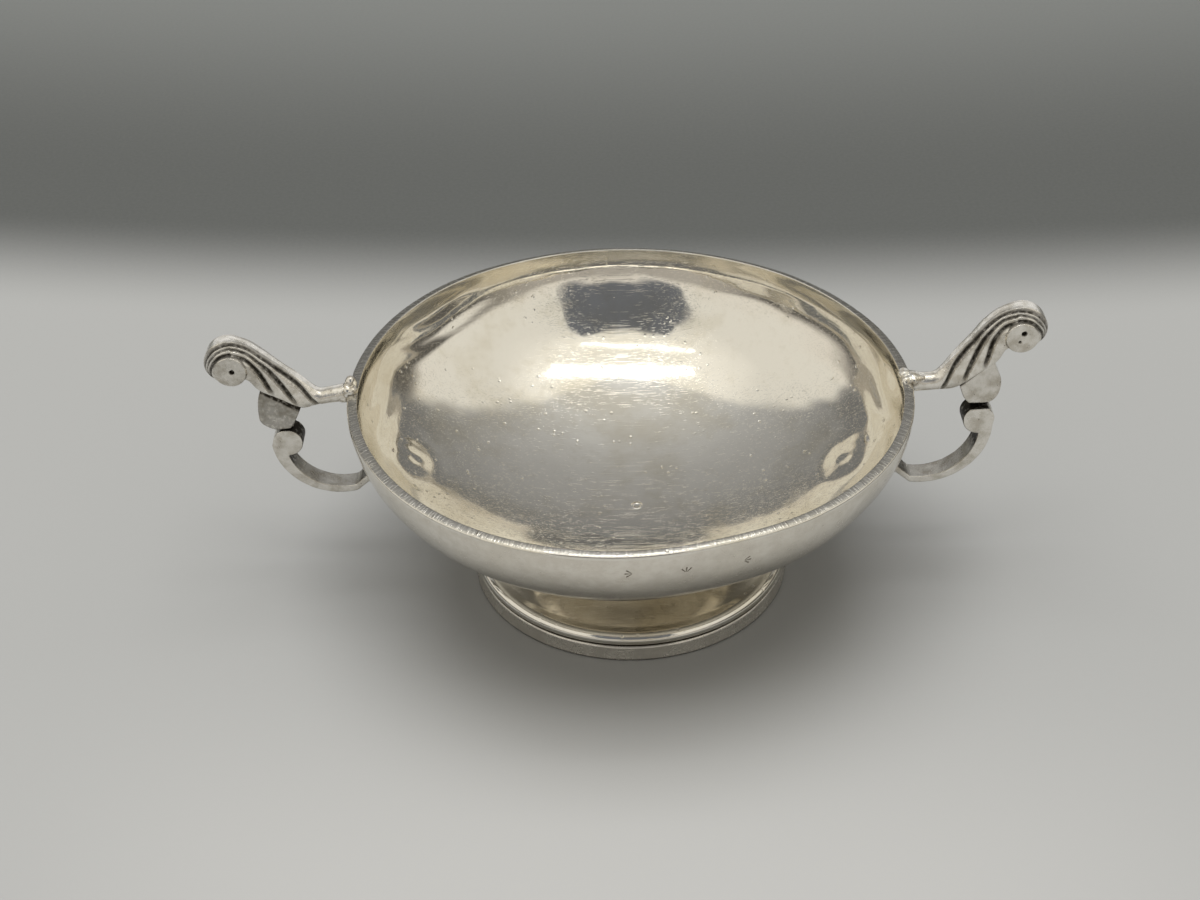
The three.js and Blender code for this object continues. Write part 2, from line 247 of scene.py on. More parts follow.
def turned(bm: BMesh, steps: int) -> None:
    """Turn everything drawn so far once round the Z axis and weld it.

    Args:
        bm: Mesh that holds the profile.
        steps: Number of steps round.
    """
    bmesh.ops.spin(
        bm,
        geom=bm.verts[:] + bm.edges[:],
        cent=(0, 0, 0),
        axis=(0, 0, 1),
        dvec=(0, 0, 0),
        angle=2 * math.pi,
        steps=steps,
        use_merge=True,
    )
    bmesh.ops.remove_doubles(bm, verts=bm.verts[:], dist=WELD)
    bmesh.ops.recalc_face_normals(bm, faces=bm.faces[:])


def rings_at(bm: BMesh, radius: float, height: float) -> list[BMEdge]:
    """Edges that run round the axis at one radius and height.

    Args:
        bm: Mesh to search.
        radius: Their radius.
        height: Their height.

    Returns:
        The edges.
    """

    def near(v: BMVert) -> bool:
        """Whether a vertex lies on the ring."""
        return max(abs(v.co.xy.length - radius), abs(v.co.z - height)) < RING_REACH

    return [e for e in bm.edges if near(e.verts[0]) and near(e.verts[1])]


def rounded(bm: BMesh, edges: Sequence[BMEdge], radius: float, segments: int = 4) -> None:
    """Round some edges.

    Args:
        bm: Mesh that holds them.
        edges: The edges.
        radius: How far the rounding reaches.
        segments: Number of faces across it.
    """
    bmesh.ops.bevel(
        bm,
        geom=list(edges),
        offset=radius,
        offset_type="OFFSET",
        affect="EDGES",
        segments=segments,
        profile=0.5,
        material=-1,
        clamp_overlap=True,
    )


def lofted(bm: BMesh, rings: Sequence[Sequence[Vector]]) -> None:
    """Wrap a grid round rings of as many points each, and close it at the middles of the end rings.

    Args:
        bm: Mesh that gets the skin.
        rings: The rings, with their points in order.
    """
    around = len(rings[0])
    rows = len(rings) + 1
    first = sum(rings[0], Vector((0, 0, 0))) / around
    last = sum(rings[-1], Vector((0, 0, 0))) / around
    grid = bmesh.ops.create_grid(bm, x_segments=around, y_segments=rows, size=0.5)["verts"]
    for v in grid:
        column = round((v.co.x + 0.5) * around) % around
        row = round((v.co.y + 0.5) * rows)
        if row == 0:
            v.co = first
        elif row == rows:
            v.co = last
        else:
            v.co = rings[row - 1][column]
    bmesh.ops.remove_doubles(bm, verts=grid, dist=WELD)


def slab(bm: BMesh, outline: Sequence[Vector], thickness: float, edge_round: float) -> None:
    """Give an (out, up) outline a thickness across Y and soft edges.

    Args:
        bm: Mesh that gets the slab.
        outline: Points round the outline.
        thickness: Thickness, half of it on each side of the XZ plane.
        edge_round: Radius of its edges.
    """
    verts = [bm.verts.new((p.x, -thickness / 2, p.y)) for p in outline]
    face = bm.faces.new(verts)
    raised = bmesh.ops.extrude_face_region(bm, geom=[face])["geom"]
    moved = [g for g in raised if isinstance(g, BMVert)]
    bmesh.ops.translate(bm, vec=(0, thickness, 0), verts=moved)
    far_edges = {e for v in moved for e in v.link_edges if all(w in moved for w in e.verts)}
    near_edges = {e for v in verts for e in v.link_edges if all(w in verts for w in e.verts)}
    rounded(bm, list(far_edges | near_edges), edge_round, 3)


def ball(bm: BMesh, centre: Vector, half: Vector) -> None:
    """Add an ellipsoid.

    Args:
        bm: Mesh that gets it.
        centre: Its middle.
        half: Its half sizes.
    """
    verts = bmesh.ops.create_icosphere(bm, subdivisions=BALL_DETAIL, radius=1)["verts"]
    bmesh.ops.scale(bm, vec=half, verts=verts)
    bmesh.ops.translate(bm, vec=centre, verts=verts)


def fused(bm: BMesh, voxel: float, smoothing: int) -> BMesh:
    """Melt overlapping shells into one even skin, as in one casting.

    Args:
        bm: Mesh of closed shells, which is freed.
        voxel: Size of the new skin's faces.
        smoothing: Number of smoothing passes over it.

    Returns:
        A new mesh.
    """
    bmesh.ops.recalc_face_normals(bm, faces=bm.faces[:])
    mesh = bpy.data.meshes.new("shells")
    bm.to_mesh(mesh)
    bm.free()
    melt = bpy.data.objects.new("shells", mesh)
    bpy.context.scene.collection.objects.link(melt)
    remesh = melt.modifiers.new("melt", "REMESH")
    remesh.mode = "VOXEL"
    remesh.voxel_size = voxel
    skin = melt.evaluated_get(bpy.context.evaluated_depsgraph_get()).to_mesh()
    result = bmesh.new()
    result.from_mesh(skin)
    bpy.data.objects.remove(melt)
    bpy.data.meshes.remove(mesh)
    for _ in range(smoothing):
        bmesh.ops.smooth_vert(
            result, verts=result.verts[:], factor=0.5, use_axis_x=True, use_axis_y=True, use_axis_z=True
        )
    return result


def noted_patina_and_shade(bm: BMesh, depth: Callable[[Vector], float]) -> None:
    """Note on each vertex how much old patina and painted shade sits there.

    Args:
        bm: Mesh that gets the attribute.
        depth: Gives the share of patina and painted shade at a spot.
    """
    layer = bm.verts.layers.float.new("grime")
    for v in bm.verts:
        v[layer] = min(max(depth(v.co), 0.0), 1.0)


def finished(
    name: str, bm: BMesh, place: Matrix, node: str, finish: "Finish", sharp_degrees: float = 180.0
) -> None:
    """Turn a mesh in millimetres into a piece that stands for a CAD node.

    Args:
        name: Name of the piece.
        bm: Its mesh, which is freed.
        place: Where it goes on the cup, in millimetres.
        node: The CAD node that it stands for.
        finish: Its material.
        sharp_degrees: Edges that turn by more than this look sharp.
    """
    bmesh.ops.transform(bm, matrix=Matrix.Scale(METRES, 4) @ place, verts=bm.verts[:])
    bmesh.ops.recalc_face_normals(bm, faces=bm.faces[:])
    for face in bm.faces:
        face.smooth = True
    mesh = bpy.data.meshes.new(name)
    bm.to_mesh(mesh)
    bm.free()
    mesh.set_sharp_from_angle(angle=math.radians(sharp_degrees))
    piece = bpy.data.objects.new(name, mesh)
    bpy.context.scene.collection.objects.link(piece)
    mesh.materials.append(finish.material)
    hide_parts(node)
    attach(piece, "root")
    LOG.info("%s stands for %s with %d faces", name, node, len(mesh.polygons))


# Finishes


class Graph:
    """The node tree of a material, with short calls for the nodes that the finishes share."""

    def __init__(self, name: str) -> None:
        """Start a material.

        Args:
            name: Its name.
        """
        self.material = bpy.data.materials.new(name)
        self.material.use_nodes = True
        self.tree = self.material.node_tree
        self.shader = self.tree.nodes["Principled BSDF"]

    def node(self, kind: str, **settings: object) -> bpy.types.Node:
        """Add a node.

        Args:
            kind: Its type, less the word ShaderNode.
            settings: Properties to set on it.

        Returns:
            The node.
        """
        made = self.tree.nodes.new("ShaderNode" + kind)
        for key, value in settings.items():
            setattr(made, key, value)
        return made

    def feed(self, target: Socket, value: Socket | float | Vector | tuple) -> None:
        """Link a socket to an input, or set the input to a value.

        Args:
            target: The input.
            value: An output or a plain value.
        """
        if isinstance(value, bpy.types.NodeSocket):
            self.tree.links.new(value, target)
        else:
            target.default_value = value

    def math(self, operation: str, a: Socket | float, b: Socket | float = 0.0, clamp: bool = False) -> Socket:
        """Do arithmetic on two values.

        Args:
            operation: Name of the operation.
            a: First value.
            b: Second value.
            clamp: Whether to keep the result between 0 and 1.

        Returns:
            The result.
        """
        made = self.node("Math", operation=operation, use_clamp=clamp)
        self.feed(made.inputs[0], a)
        self.feed(made.inputs[1], b)
        return made.outputs[0]

    def vector(self, operation: str, a: Socket | Vector, b: Socket | Vector = Vector((0, 0, 0))) -> Socket:
        """Do arithmetic on two vectors.

        Args:
            operation: Name of the operation.
            a: First vector.
            b: Second vector.

        Returns:
            The result, a value where the operation gives one.
        """
        made = self.node("VectorMath", operation=operation)
        self.feed(made.inputs[0], a)
        self.feed(made.inputs[1], b)
        return made.outputs[1 if operation == "LENGTH" else 0]

    def parts(self, vector: Socket) -> Sequence[Socket]:
        """The three numbers of a vector.

        Args:
            vector: The vector.

        Returns:
            Its X, Y and Z.
        """
        split = self.node("SeparateXYZ")
        self.feed(split.inputs[0], vector)
        return split.outputs[:]

    def summed(self, start: Socket, layers: Sequence[tuple[Socket, float]]) -> Socket:
        """Add weighted values to a first one.

        Args:
            start: The first value.
            layers: The values to add, each with its weight.

        Returns:
            The sum.
        """
        for value, weight in layers:
            start = self.math("ADD", start, self.math("MULTIPLY", value, weight))
        return start

    def step(
        self, value: Socket, low: float, high: float, first: float = 0.0, last: float = 1.0
    ) -> Socket:
        """Smooth step of a value between two limits.

        Args:
            value: The value.
            low: Where the step starts.
            high: Where it ends.
            first: Result before it.
            last: Result past it.

        Returns:
            The result.
        """
        made = self.node("MapRange", interpolation_type="SMOOTHSTEP")
        self.feed(made.inputs[0], value)
        for socket, number in zip(made.inputs[1:5], (low, high, first, last)):
            socket.default_value = number
        return made.outputs[0]

    def blend(self, share: Socket | float, a: Socket | Color, b: Socket | Color) -> Socket:
        """Mix two colours.

        Args:
            share: Share of the second.
            a: First colour.
            b: Second colour.

        Returns:
            The mixed colour.
        """
        made = self.node("Mix", data_type="RGBA")
        self.feed(made.inputs[0], share)
        for socket, color in ((made.inputs[6], a), (made.inputs[7], b)):
            self.feed(socket, color if isinstance(color, bpy.types.NodeSocket) else (*color, 1.0))
        return made.outputs[2]

    def millimetres(self) -> Socket:
        """Object coordinates in millimetres."""
        place = self.node("TexCoord").outputs["Object"]
        return self.vector("MULTIPLY", place, Vector((1, 1, 1)) / METRES)

    def laid(self, vector: Socket, scale: tuple, degrees: tuple = (0, 0, 0)) -> Socket:
        """Turn and stretch coordinates.

        Args:
            vector: The coordinates.
            scale: Pattern repeats per millimetre on each axis.
            degrees: Turn about each axis.

        Returns:
            The new coordinates.
        """
        made = self.node("Mapping")
        self.feed(made.inputs["Vector"], vector)
        made.inputs["Rotation"].default_value = [math.radians(d) for d in degrees]
        made.inputs["Scale"].default_value = scale
        return made.outputs[0]

    def noise(self, vector: Socket, scale: float, detail: float = 2.0, roughness: float = 0.5) -> Socket:
        """Cloudy noise.

        Args:
            vector: Coordinates.
            scale: Repeats per unit of them.
            detail: Number of finer layers.
            roughness: Strength of the finer layers.

        Returns:
            Noise from 0 to 1.
        """
        made = self.node("TexNoise")
        self.feed(made.inputs["Vector"], vector)
        made.inputs["Scale"].default_value = scale
        made.inputs["Detail"].default_value = detail
        made.inputs["Roughness"].default_value = roughness
        return made.outputs[0]

    def cells(self, vector: Socket, scale: float, feature: str = "F1") -> bpy.types.Node:
        """Cells about scattered points.

        Args:
            vector: Coordinates.
            scale: Repeats per unit of them.
            feature: Kind of distance.

        Returns:
            The texture node.
        """
        made = self.node("TexVoronoi", feature=feature)
        self.feed(made.inputs["Vector"], vector)
        made.inputs["Scale"].default_value = scale
        return made

    def corners(self, reach: float) -> Socket:
        """Openness of a spot: 1 in the open and 0 deep in a corner.

        Args:
            reach: How far the corner's walls may be, in millimetres.

        Returns:
            The openness.
        """
        made = self.node("AmbientOcclusion", samples=CORNER_RAYS)
        made.inputs["Distance"].default_value = reach * METRES
        return made.outputs["AO"]

    def bumps(self, layers: Sequence[tuple[Socket, float]]) -> Socket:
        """Stack height fields on the surface.

        Args:
            layers: Height fields, each with the depth in millimetres that a height of 1 stands for.

        Returns:
            The bumped normal.
        """
        normal = None
        for height, depth in layers:
            made = self.node("Bump")
            made.inputs["Distance"].default_value = depth * METRES
            self.feed(made.inputs["Height"], height)
            if normal is not None:
                self.feed(made.inputs["Normal"], normal)
            normal = made.outputs[0]
        return normal

    def scratches(self, vector: Socket, width: float, length: float, turns: Sequence[tuple]) -> Socket:
        """Fine lines in several directions.

        Args:
            vector: Coordinates in millimetres.
            width: Width of a line.
            length: Length of a line.
            turns: Turn of each set of lines about the three axes.

        Returns:
            1 on a line and 0 beside it.
        """
        total: Socket | float = 0.0
        for turn in turns:
            laid = self.laid(vector, (1 / length, 1 / width, 1 / width), turn)
            line = self.step(self.noise(laid, 0.5, 1.0), 0.66, 0.76)
            total = self.math("MAXIMUM", line, total)
        return total

    def dressed(
        self, color: Socket, metallic: float, rough: Socket, layers: Sequence[tuple[Socket, float]]
    ) -> bpy.types.Material:
        """Feed the shader.

        Args:
            color: Base colour.
            metallic: How metallic the surface is.
            rough: Its roughness.
            layers: Its height fields, as bumps takes them.

        Returns:
            The finished material.
        """
        self.feed(self.shader.inputs["Base Color"], color)
        self.shader.inputs["Metallic"].default_value = metallic
        self.feed(self.shader.inputs["Roughness"], rough)
        self.feed(self.shader.inputs["Normal"], self.bumps(layers))
        return self.material


class Finish:
    """A finish that builds its material once."""

    name: str

    @property
    def material(self) -> bpy.types.Material:
        """The finish's material, made the first time it is asked for."""
        known = bpy.data.materials.get(self.name)
        return known if known else self.build()

    def build(self) -> bpy.types.Material:
        """Make the material.

        Returns:
            The new material.
        """
        raise NotImplementedError


@dataclass(frozen=True)
class Sprig:
    """A small engraved sprig of three dashes on the bowl's outside.

    The place is in millimetres from the cup's axis, and the turn is in degrees.
    """

    place: tuple[float, float, float]
    turn: float
    start: float = 0.25
    end: float = 1.5
    spreads: tuple[float, ...] = (-38.0, 0.0, 38.0)
    thin: float = 0.07
    thick: float = 0.16
    reach: float = 2.6

    def mask(self, g: "Graph", mm: Socket) -> Socket:
        """Draw the sprig.

        Args:
            g: Graph of the bowl's material.
            mm: Coordinates in millimetres.

        Returns:
            1 in a dash and 0 beside it.
        """
        facing = math.degrees(math.atan2(self.place[1], self.place[0]))
        away = g.vector("SUBTRACT", mm, Vector(self.place))
        facing_front = g.laid(away, (1, 1, 1), (0, 0, -facing - 90))
        total: Socket | float = 0.0
        for spread in self.spreads:
            along, _, beside = g.parts(g.laid(facing_front, (1, 1, 1), (0, self.turn + spread, 0)))
            taper = g.step(along, self.start, self.end, self.thin, self.thick)
            dash = g.math("LESS_THAN", g.math("ABSOLUTE", beside), taper)
            dash = g.math("MULTIPLY", dash, g.math("GREATER_THAN", along, self.start))
            dash = g.math("MULTIPLY", dash, g.math("LESS_THAN", along, self.end))
            total = g.math("MAXIMUM", total, dash)
        near = g.math("LESS_THAN", g.vector("LENGTH", away), self.reach)
        return g.math("MULTIPLY", total, near)


@dataclass(frozen=True)
class SheetSilver(Finish):
    """Sheet silver raised with the hammer, polished long ago and worn since, with painted shade in its
    corners and on its outside.
    """

    name: str = "raised_silver"
    color: Color = (0.875, 0.845, 0.775)
    dull_color: Color = (0.76, 0.715, 0.61)
    # Painted shade for the outside, blended with the patchy film.
    outer_shade_color: Color = (0.70, 0.66, 0.585)
    lip_dull: Color = (0.34, 0.325, 0.29)
    # Dark colour of patina, also used for painted shade in corners.
    patina_and_shade: Color = (0.13, 0.105, 0.075)
    metallic: float = 1.0
    punch_place: tuple[float, float, float] = (1.45, 0.1, 0.0)
    sprigs: tuple[Sprig, ...] = (
        Sprig((-0.8, -56.52, 41.32), 180.0),
        Sprig((9.1, -55.3, 40.0), 90.0),
        Sprig((19.8, -51.7, 39.85), 0.0),
    )

    def build(self) -> bpy.types.Material:
        """Make the material.

        Returns:
            The new material.
        """
        g = Graph(self.name)
        mm = g.millimetres()
        cloud = g.noise(mm, 0.05, 4.0, 0.6)
        film = g.noise(mm, 0.4, 4.0, 0.65)
        lines = g.scratches(mm, 0.15, 16.0, ((0, 0, 20), (0, 0, 78), (0, 0, 141)))
        hair = g.scratches(mm, 0.07, 5.0, ((0, 0, 50), (0, 0, 112)))
        specks = g.cells(mm, 0.45)
        pits = g.math(
            "MULTIPLY",
            g.step(specks.outputs["Distance"], 0.19, 0.07),
            g.step(g.noise(mm, 0.11, 1.0), 0.50, 0.57),
        )
        # Painted shade: the colour darkens where other surfaces close in within 1.6 mm, in creases and where
        # other pieces meet the bowl; it also stands for patina there.
        corner = g.step(g.corners(1.6), 0.92, 0.40)

        up = g.parts(mm)[2]
        flat = g.vector("MULTIPLY", mm, Vector((1, 1, 0)))
        radius = g.vector("LENGTH", flat)
        lip = g.node("Attribute", attribute_name="lip").outputs["Fac"]
        lip_flat = g.step(lip, 0.25, 0.45)
        lip_inner = g.step(lip, 0.62, 0.92)
        around = g.vector("MULTIPLY", g.vector("NORMALIZE", flat), Vector((125, 125, 0)))
        joined = g.node("CombineXYZ")
        g.feed(joined.inputs[2], g.math("MULTIPLY", radius, 0.3))
        streaks = g.noise(g.vector("ADD", around, joined.outputs[0]), 1.0, 2.0, 0.6)
        filed = g.step(streaks, 0.46, 0.62)

        engraved: Socket | float = 0.0
        for sprig in self.sprigs:
            engraved = g.math("MAXIMUM", engraved, sprig.mask(g, mm))

        outside = g.node("Attribute", attribute_name="outside").outputs["Fac"]
        color = g.blend(g.step(cloud, 0.42, 0.72), self.color, self.dull_color)
        color = g.blend(g.math("MULTIPLY", g.step(film, 0.5, 0.75), 0.25), color, self.dull_color)
        # Painted shade: the outside is blended towards a darker, duller colour all over, and further where
        # the film lies.
        outside_shade_and_film = g.math("MULTIPLY", outside, g.step(film, 0.3, 0.65, 0.45, 0.95))
        color = g.blend(outside_shade_and_film, color, self.outer_shade_color)
        worn = g.summed(g.step(streaks, 0.45, 0.62, 0.32, 0.0), ((lip_inner, 0.22),))
        color = g.blend(g.math("MULTIPLY", lip_flat, worn), color, self.lip_dull)
        ticks = g.math("MULTIPLY", lip_flat, g.step(streaks, 0.64, 0.70, 0.0, 0.8))
        dark = g.math("MAXIMUM", g.math("MULTIPLY", corner, 0.8), g.math("MULTIPLY", engraved, 0.85))
        dark = g.math("MAXIMUM", dark, ticks)
        color = g.blend(dark, color, self.patina_and_shade)
        rough = g.summed(
            g.step(cloud, 0.3, 0.75, 0.04, 0.085),
            (
                (g.step(film, 0.35, 0.75), 0.05),
                (lines, 0.12),
                (hair, 0.06),
                (lip_flat, 0.13),
                (outside, 0.07),
                (dark, 0.25),
            ),
        )

        facets = g.cells(mm, 0.15, "SMOOTH_F1")
        facets.inputs["Smoothness"].default_value = 1.0
        punch = g.vector("LENGTH", g.vector("SUBTRACT", flat, Vector(self.punch_place)))
        ring = g.math("MULTIPLY", g.step(punch, 0.5, 0.9), g.step(punch, 1.4, 0.9))
        ring = g.math("MULTIPLY", ring, g.step(up, 13.9, 14.0))
        layers = (
            (facets.outputs["Distance"], 0.05),
            (g.noise(mm, 0.45, 2.0), 0.008),
            (lines, -0.008),
            (hair, -0.004),
            (pits, -0.05),
            (ring, 0.12),
            (g.math("MULTIPLY", filed, lip_flat), 0.02),
            (engraved, -0.12),
        )
        return g.dressed(color, self.metallic, rough, layers)


@dataclass(frozen=True)
class BandSilver(Finish):
    """The foot's strip: satin from years of standing and wiping, with upright scratches and corners darkened
    by painted shade and patina.
    """

    name: str = "worn_strip_silver"
    color: Color = (0.84, 0.81, 0.745)
    dull_color: Color = (0.67, 0.64, 0.58)
    # Dark colour of patina, also used for painted shade.
    patina_and_shade: Color = (0.09, 0.075, 0.055)
    metallic: float = 0.88

    def build(self) -> bpy.types.Material:
        """Make the material.

        Returns:
            The new material.
        """
        g = Graph(self.name)
        mm = g.millimetres()
        cloud = g.noise(mm, 0.12, 4.0, 0.65)
        grain = g.noise(g.laid(mm, (1, 1, 0.22)), 3.2, 3.0, 0.7)
        lines = g.scratches(mm, 0.12, 4.0, ((0, 90, 30), (0, 65, 100), (0, 115, 160)))
        # Painted shade: the colour darkens within 1.1 mm of other surfaces, under the roll and as a painted
        # contact shadow along the floor; it also stands for patina there.
        corner = g.step(g.corners(1.1), 0.85, 0.35)
        color = g.blend(g.step(cloud, 0.35, 0.7), self.color, self.dull_color)
        color = g.blend(g.math("MULTIPLY", g.step(grain, 0.48, 0.72), 0.55), color, self.dull_color)
        color = g.blend(corner, color, self.patina_and_shade)
        rough = g.summed(g.step(cloud, 0.3, 0.75, 0.22, 0.34), ((lines, 0.1),))
        return g.dressed(color, self.metallic, rough, ((grain, 0.03), (lines, -0.012)))


@dataclass(frozen=True)
class CastSilver(Finish):
    """Cast and filed silver: bright worn ridges, satin filed faces, black patina deep in the flutes, and
    painted shade in its corners and on its shaded faces.
    """

    name: str = "cast_silver_skin"
    color: Color = (0.90, 0.87, 0.805)
    dull_color: Color = (0.60, 0.56, 0.48)
    # Dark colour of patina, also used for painted shade.
    patina_and_shade: Color = (0.03, 0.025, 0.018)
    metallic: float = 0.86

    def build(self) -> bpy.types.Material:
        """Make the material.

        Returns:
            The new material.
        """
        g = Graph(self.name)
        mm = g.millimetres()
        cloud = g.noise(mm, 0.35, 4.0, 0.65)
        skin = g.noise(mm, 2.2, 3.0, 0.65)
        pits = g.step(g.cells(mm, 1.1).outputs["Distance"], 0.17, 0.06)
        pits = g.math("MULTIPLY", pits, g.step(cloud, 0.5, 0.58))
        lines = g.scratches(mm, 0.12, 3.0, ((0, 30, 20), (40, 75, 100)))
        # The vertex attribute holds patina in flutes and pits, a film, and painted shade under the lug's
        # seam, at its foot and on the scroll's shaded faces.
        grime = g.node("Attribute", attribute_name="grime").outputs["Fac"]
        patchy = g.math("MULTIPLY", grime, g.step(g.noise(mm, 1.3, 3.0), 0.30, 0.55, 0.72, 1.15))
        # Painted shade: darker within 0.6 mm of other surfaces, also standing for patina in those hollows.
        near = g.math("MULTIPLY", g.step(g.corners(0.6), 0.85, 0.40), 0.7)
        dark = g.math("MAXIMUM", near, patchy, clamp=True)
        dark = g.math("MAXIMUM", dark, g.math("MULTIPLY", pits, 0.7))
        color = g.blend(g.step(cloud, 0.38, 0.72), self.color, self.dull_color)
        color = g.blend(g.math("MULTIPLY", g.step(skin, 0.5, 0.75), 0.35), color, self.dull_color)
        color = g.blend(dark, color, self.patina_and_shade)
        rough = g.summed(g.step(cloud, 0.3, 0.75, 0.14, 0.25), ((dark, 0.3),))
        layers = ((cloud, 0.10), (skin, 0.03), (lines, -0.01), (pits, -0.05))
        return g.dressed(color, self.metallic, rough, layers)


@dataclass(frozen=True)
class SolderSilver(Finish):
    """Solder that froze in lumps, bright on top, with painted shade and patina darkening its edges."""

    name: str = "frozen_solder"
    color: Color = (0.87, 0.845, 0.785)
    dull_color: Color = (0.58, 0.53, 0.44)
    # Dark colour of patina, also used for painted shade.
    patina_and_shade: Color = (0.06, 0.05, 0.035)
    metallic: float = 1.0

    def build(self) -> bpy.types.Material:
        """Make the material.

        Returns:
            The new material.
        """
        g = Graph(self.name)
        mm = g.millimetres()
        cloud = g.noise(mm, 0.7, 3.0, 0.6)
        pits = g.step(g.cells(mm, 1.0).outputs["Distance"], 0.22, 0.1)
        pits = g.math("MULTIPLY", pits, g.step(cloud, 0.48, 0.55))
        # Painted shade: the colour darkens within 0.9 mm of other surfaces, round the lumps' edges; it also
        # stands for patina there.
        corner = g.step(g.corners(0.9), 0.80, 0.35)
        dark = g.math("MAXIMUM", g.math("MULTIPLY", corner, 0.8), g.math("MULTIPLY", pits, 0.6))
        color = g.blend(g.step(cloud, 0.42, 0.60), self.color, self.dull_color)
        color = g.blend(dark, color, self.patina_and_shade)
        rough = g.summed(g.step(cloud, 0.3, 0.7, 0.18, 0.34), ((dark, 0.3),))
        return g.dressed(color, self.metallic, rough, ((cloud, 0.12), (pits, -0.05)))


# The bowl


@dataclass(frozen=True)
class Hammering:
    """Uneven sheet left by the raising hammer, as a height out from the middle of the mouth."""

    broad: float = 0.17
    broad_size: float = 15.0
    fine: float = 0.07
    fine_size: float = 6.0
    ring: float = 0.12
    ring_size: float = 5.4
    back_calm: float = 0.8
    fade_from: float = 44.4
    fade_to: float = 42.4

    def rings(self, spot: Vector) -> float:
        """Height of the wavering rings that the hammer left inside, below the lip.

        Args:
            spot: The spot on the bowl.

        Returns:
            The height in millimetres.
        """
        waver = noise.noise(spot / 17.0 + Vector((3.1, 8.2, 0.7))) * 1.1
        strength = 0.55 + 0.9 * noise.noise(spot / 21.0 + Vector((9.4, 2.6, 5.5)))
        reach = smoothstep(23.0, 33.0, spot.z) * smoothstep(self.fade_from, self.fade_to, spot.z)
        toward_back = spot.y / max(math.hypot(spot.x, spot.y), 1.0)
        reach *= 1.0 - self.back_calm * smoothstep(0.72, 0.93, toward_back)
        return self.ring * reach * strength * math.sin(2 * math.pi * (spot.z / self.ring_size + waver))

    def height(self, spot: Vector) -> float:
        """How far the sheet stands out at a spot.

        Args:
            spot: The spot on the bowl.

        Returns:
            The height in millimetres.
        """
        wall = smoothstep(18.0, 34.0, spot.z)
        fade = smoothstep(self.fade_from, self.fade_to, spot.z)
        broad = noise.noise(Vector((spot.x, spot.y, spot.z * 1.3)) / self.broad_size)
        fine = noise.noise(spot / self.fine_size + Vector((7.3, 1.9, 4.4)))
        return fade * (broad * self.broad * (0.35 + 0.65 * wall) + fine * self.fine * (0.3 + 0.7 * wall))


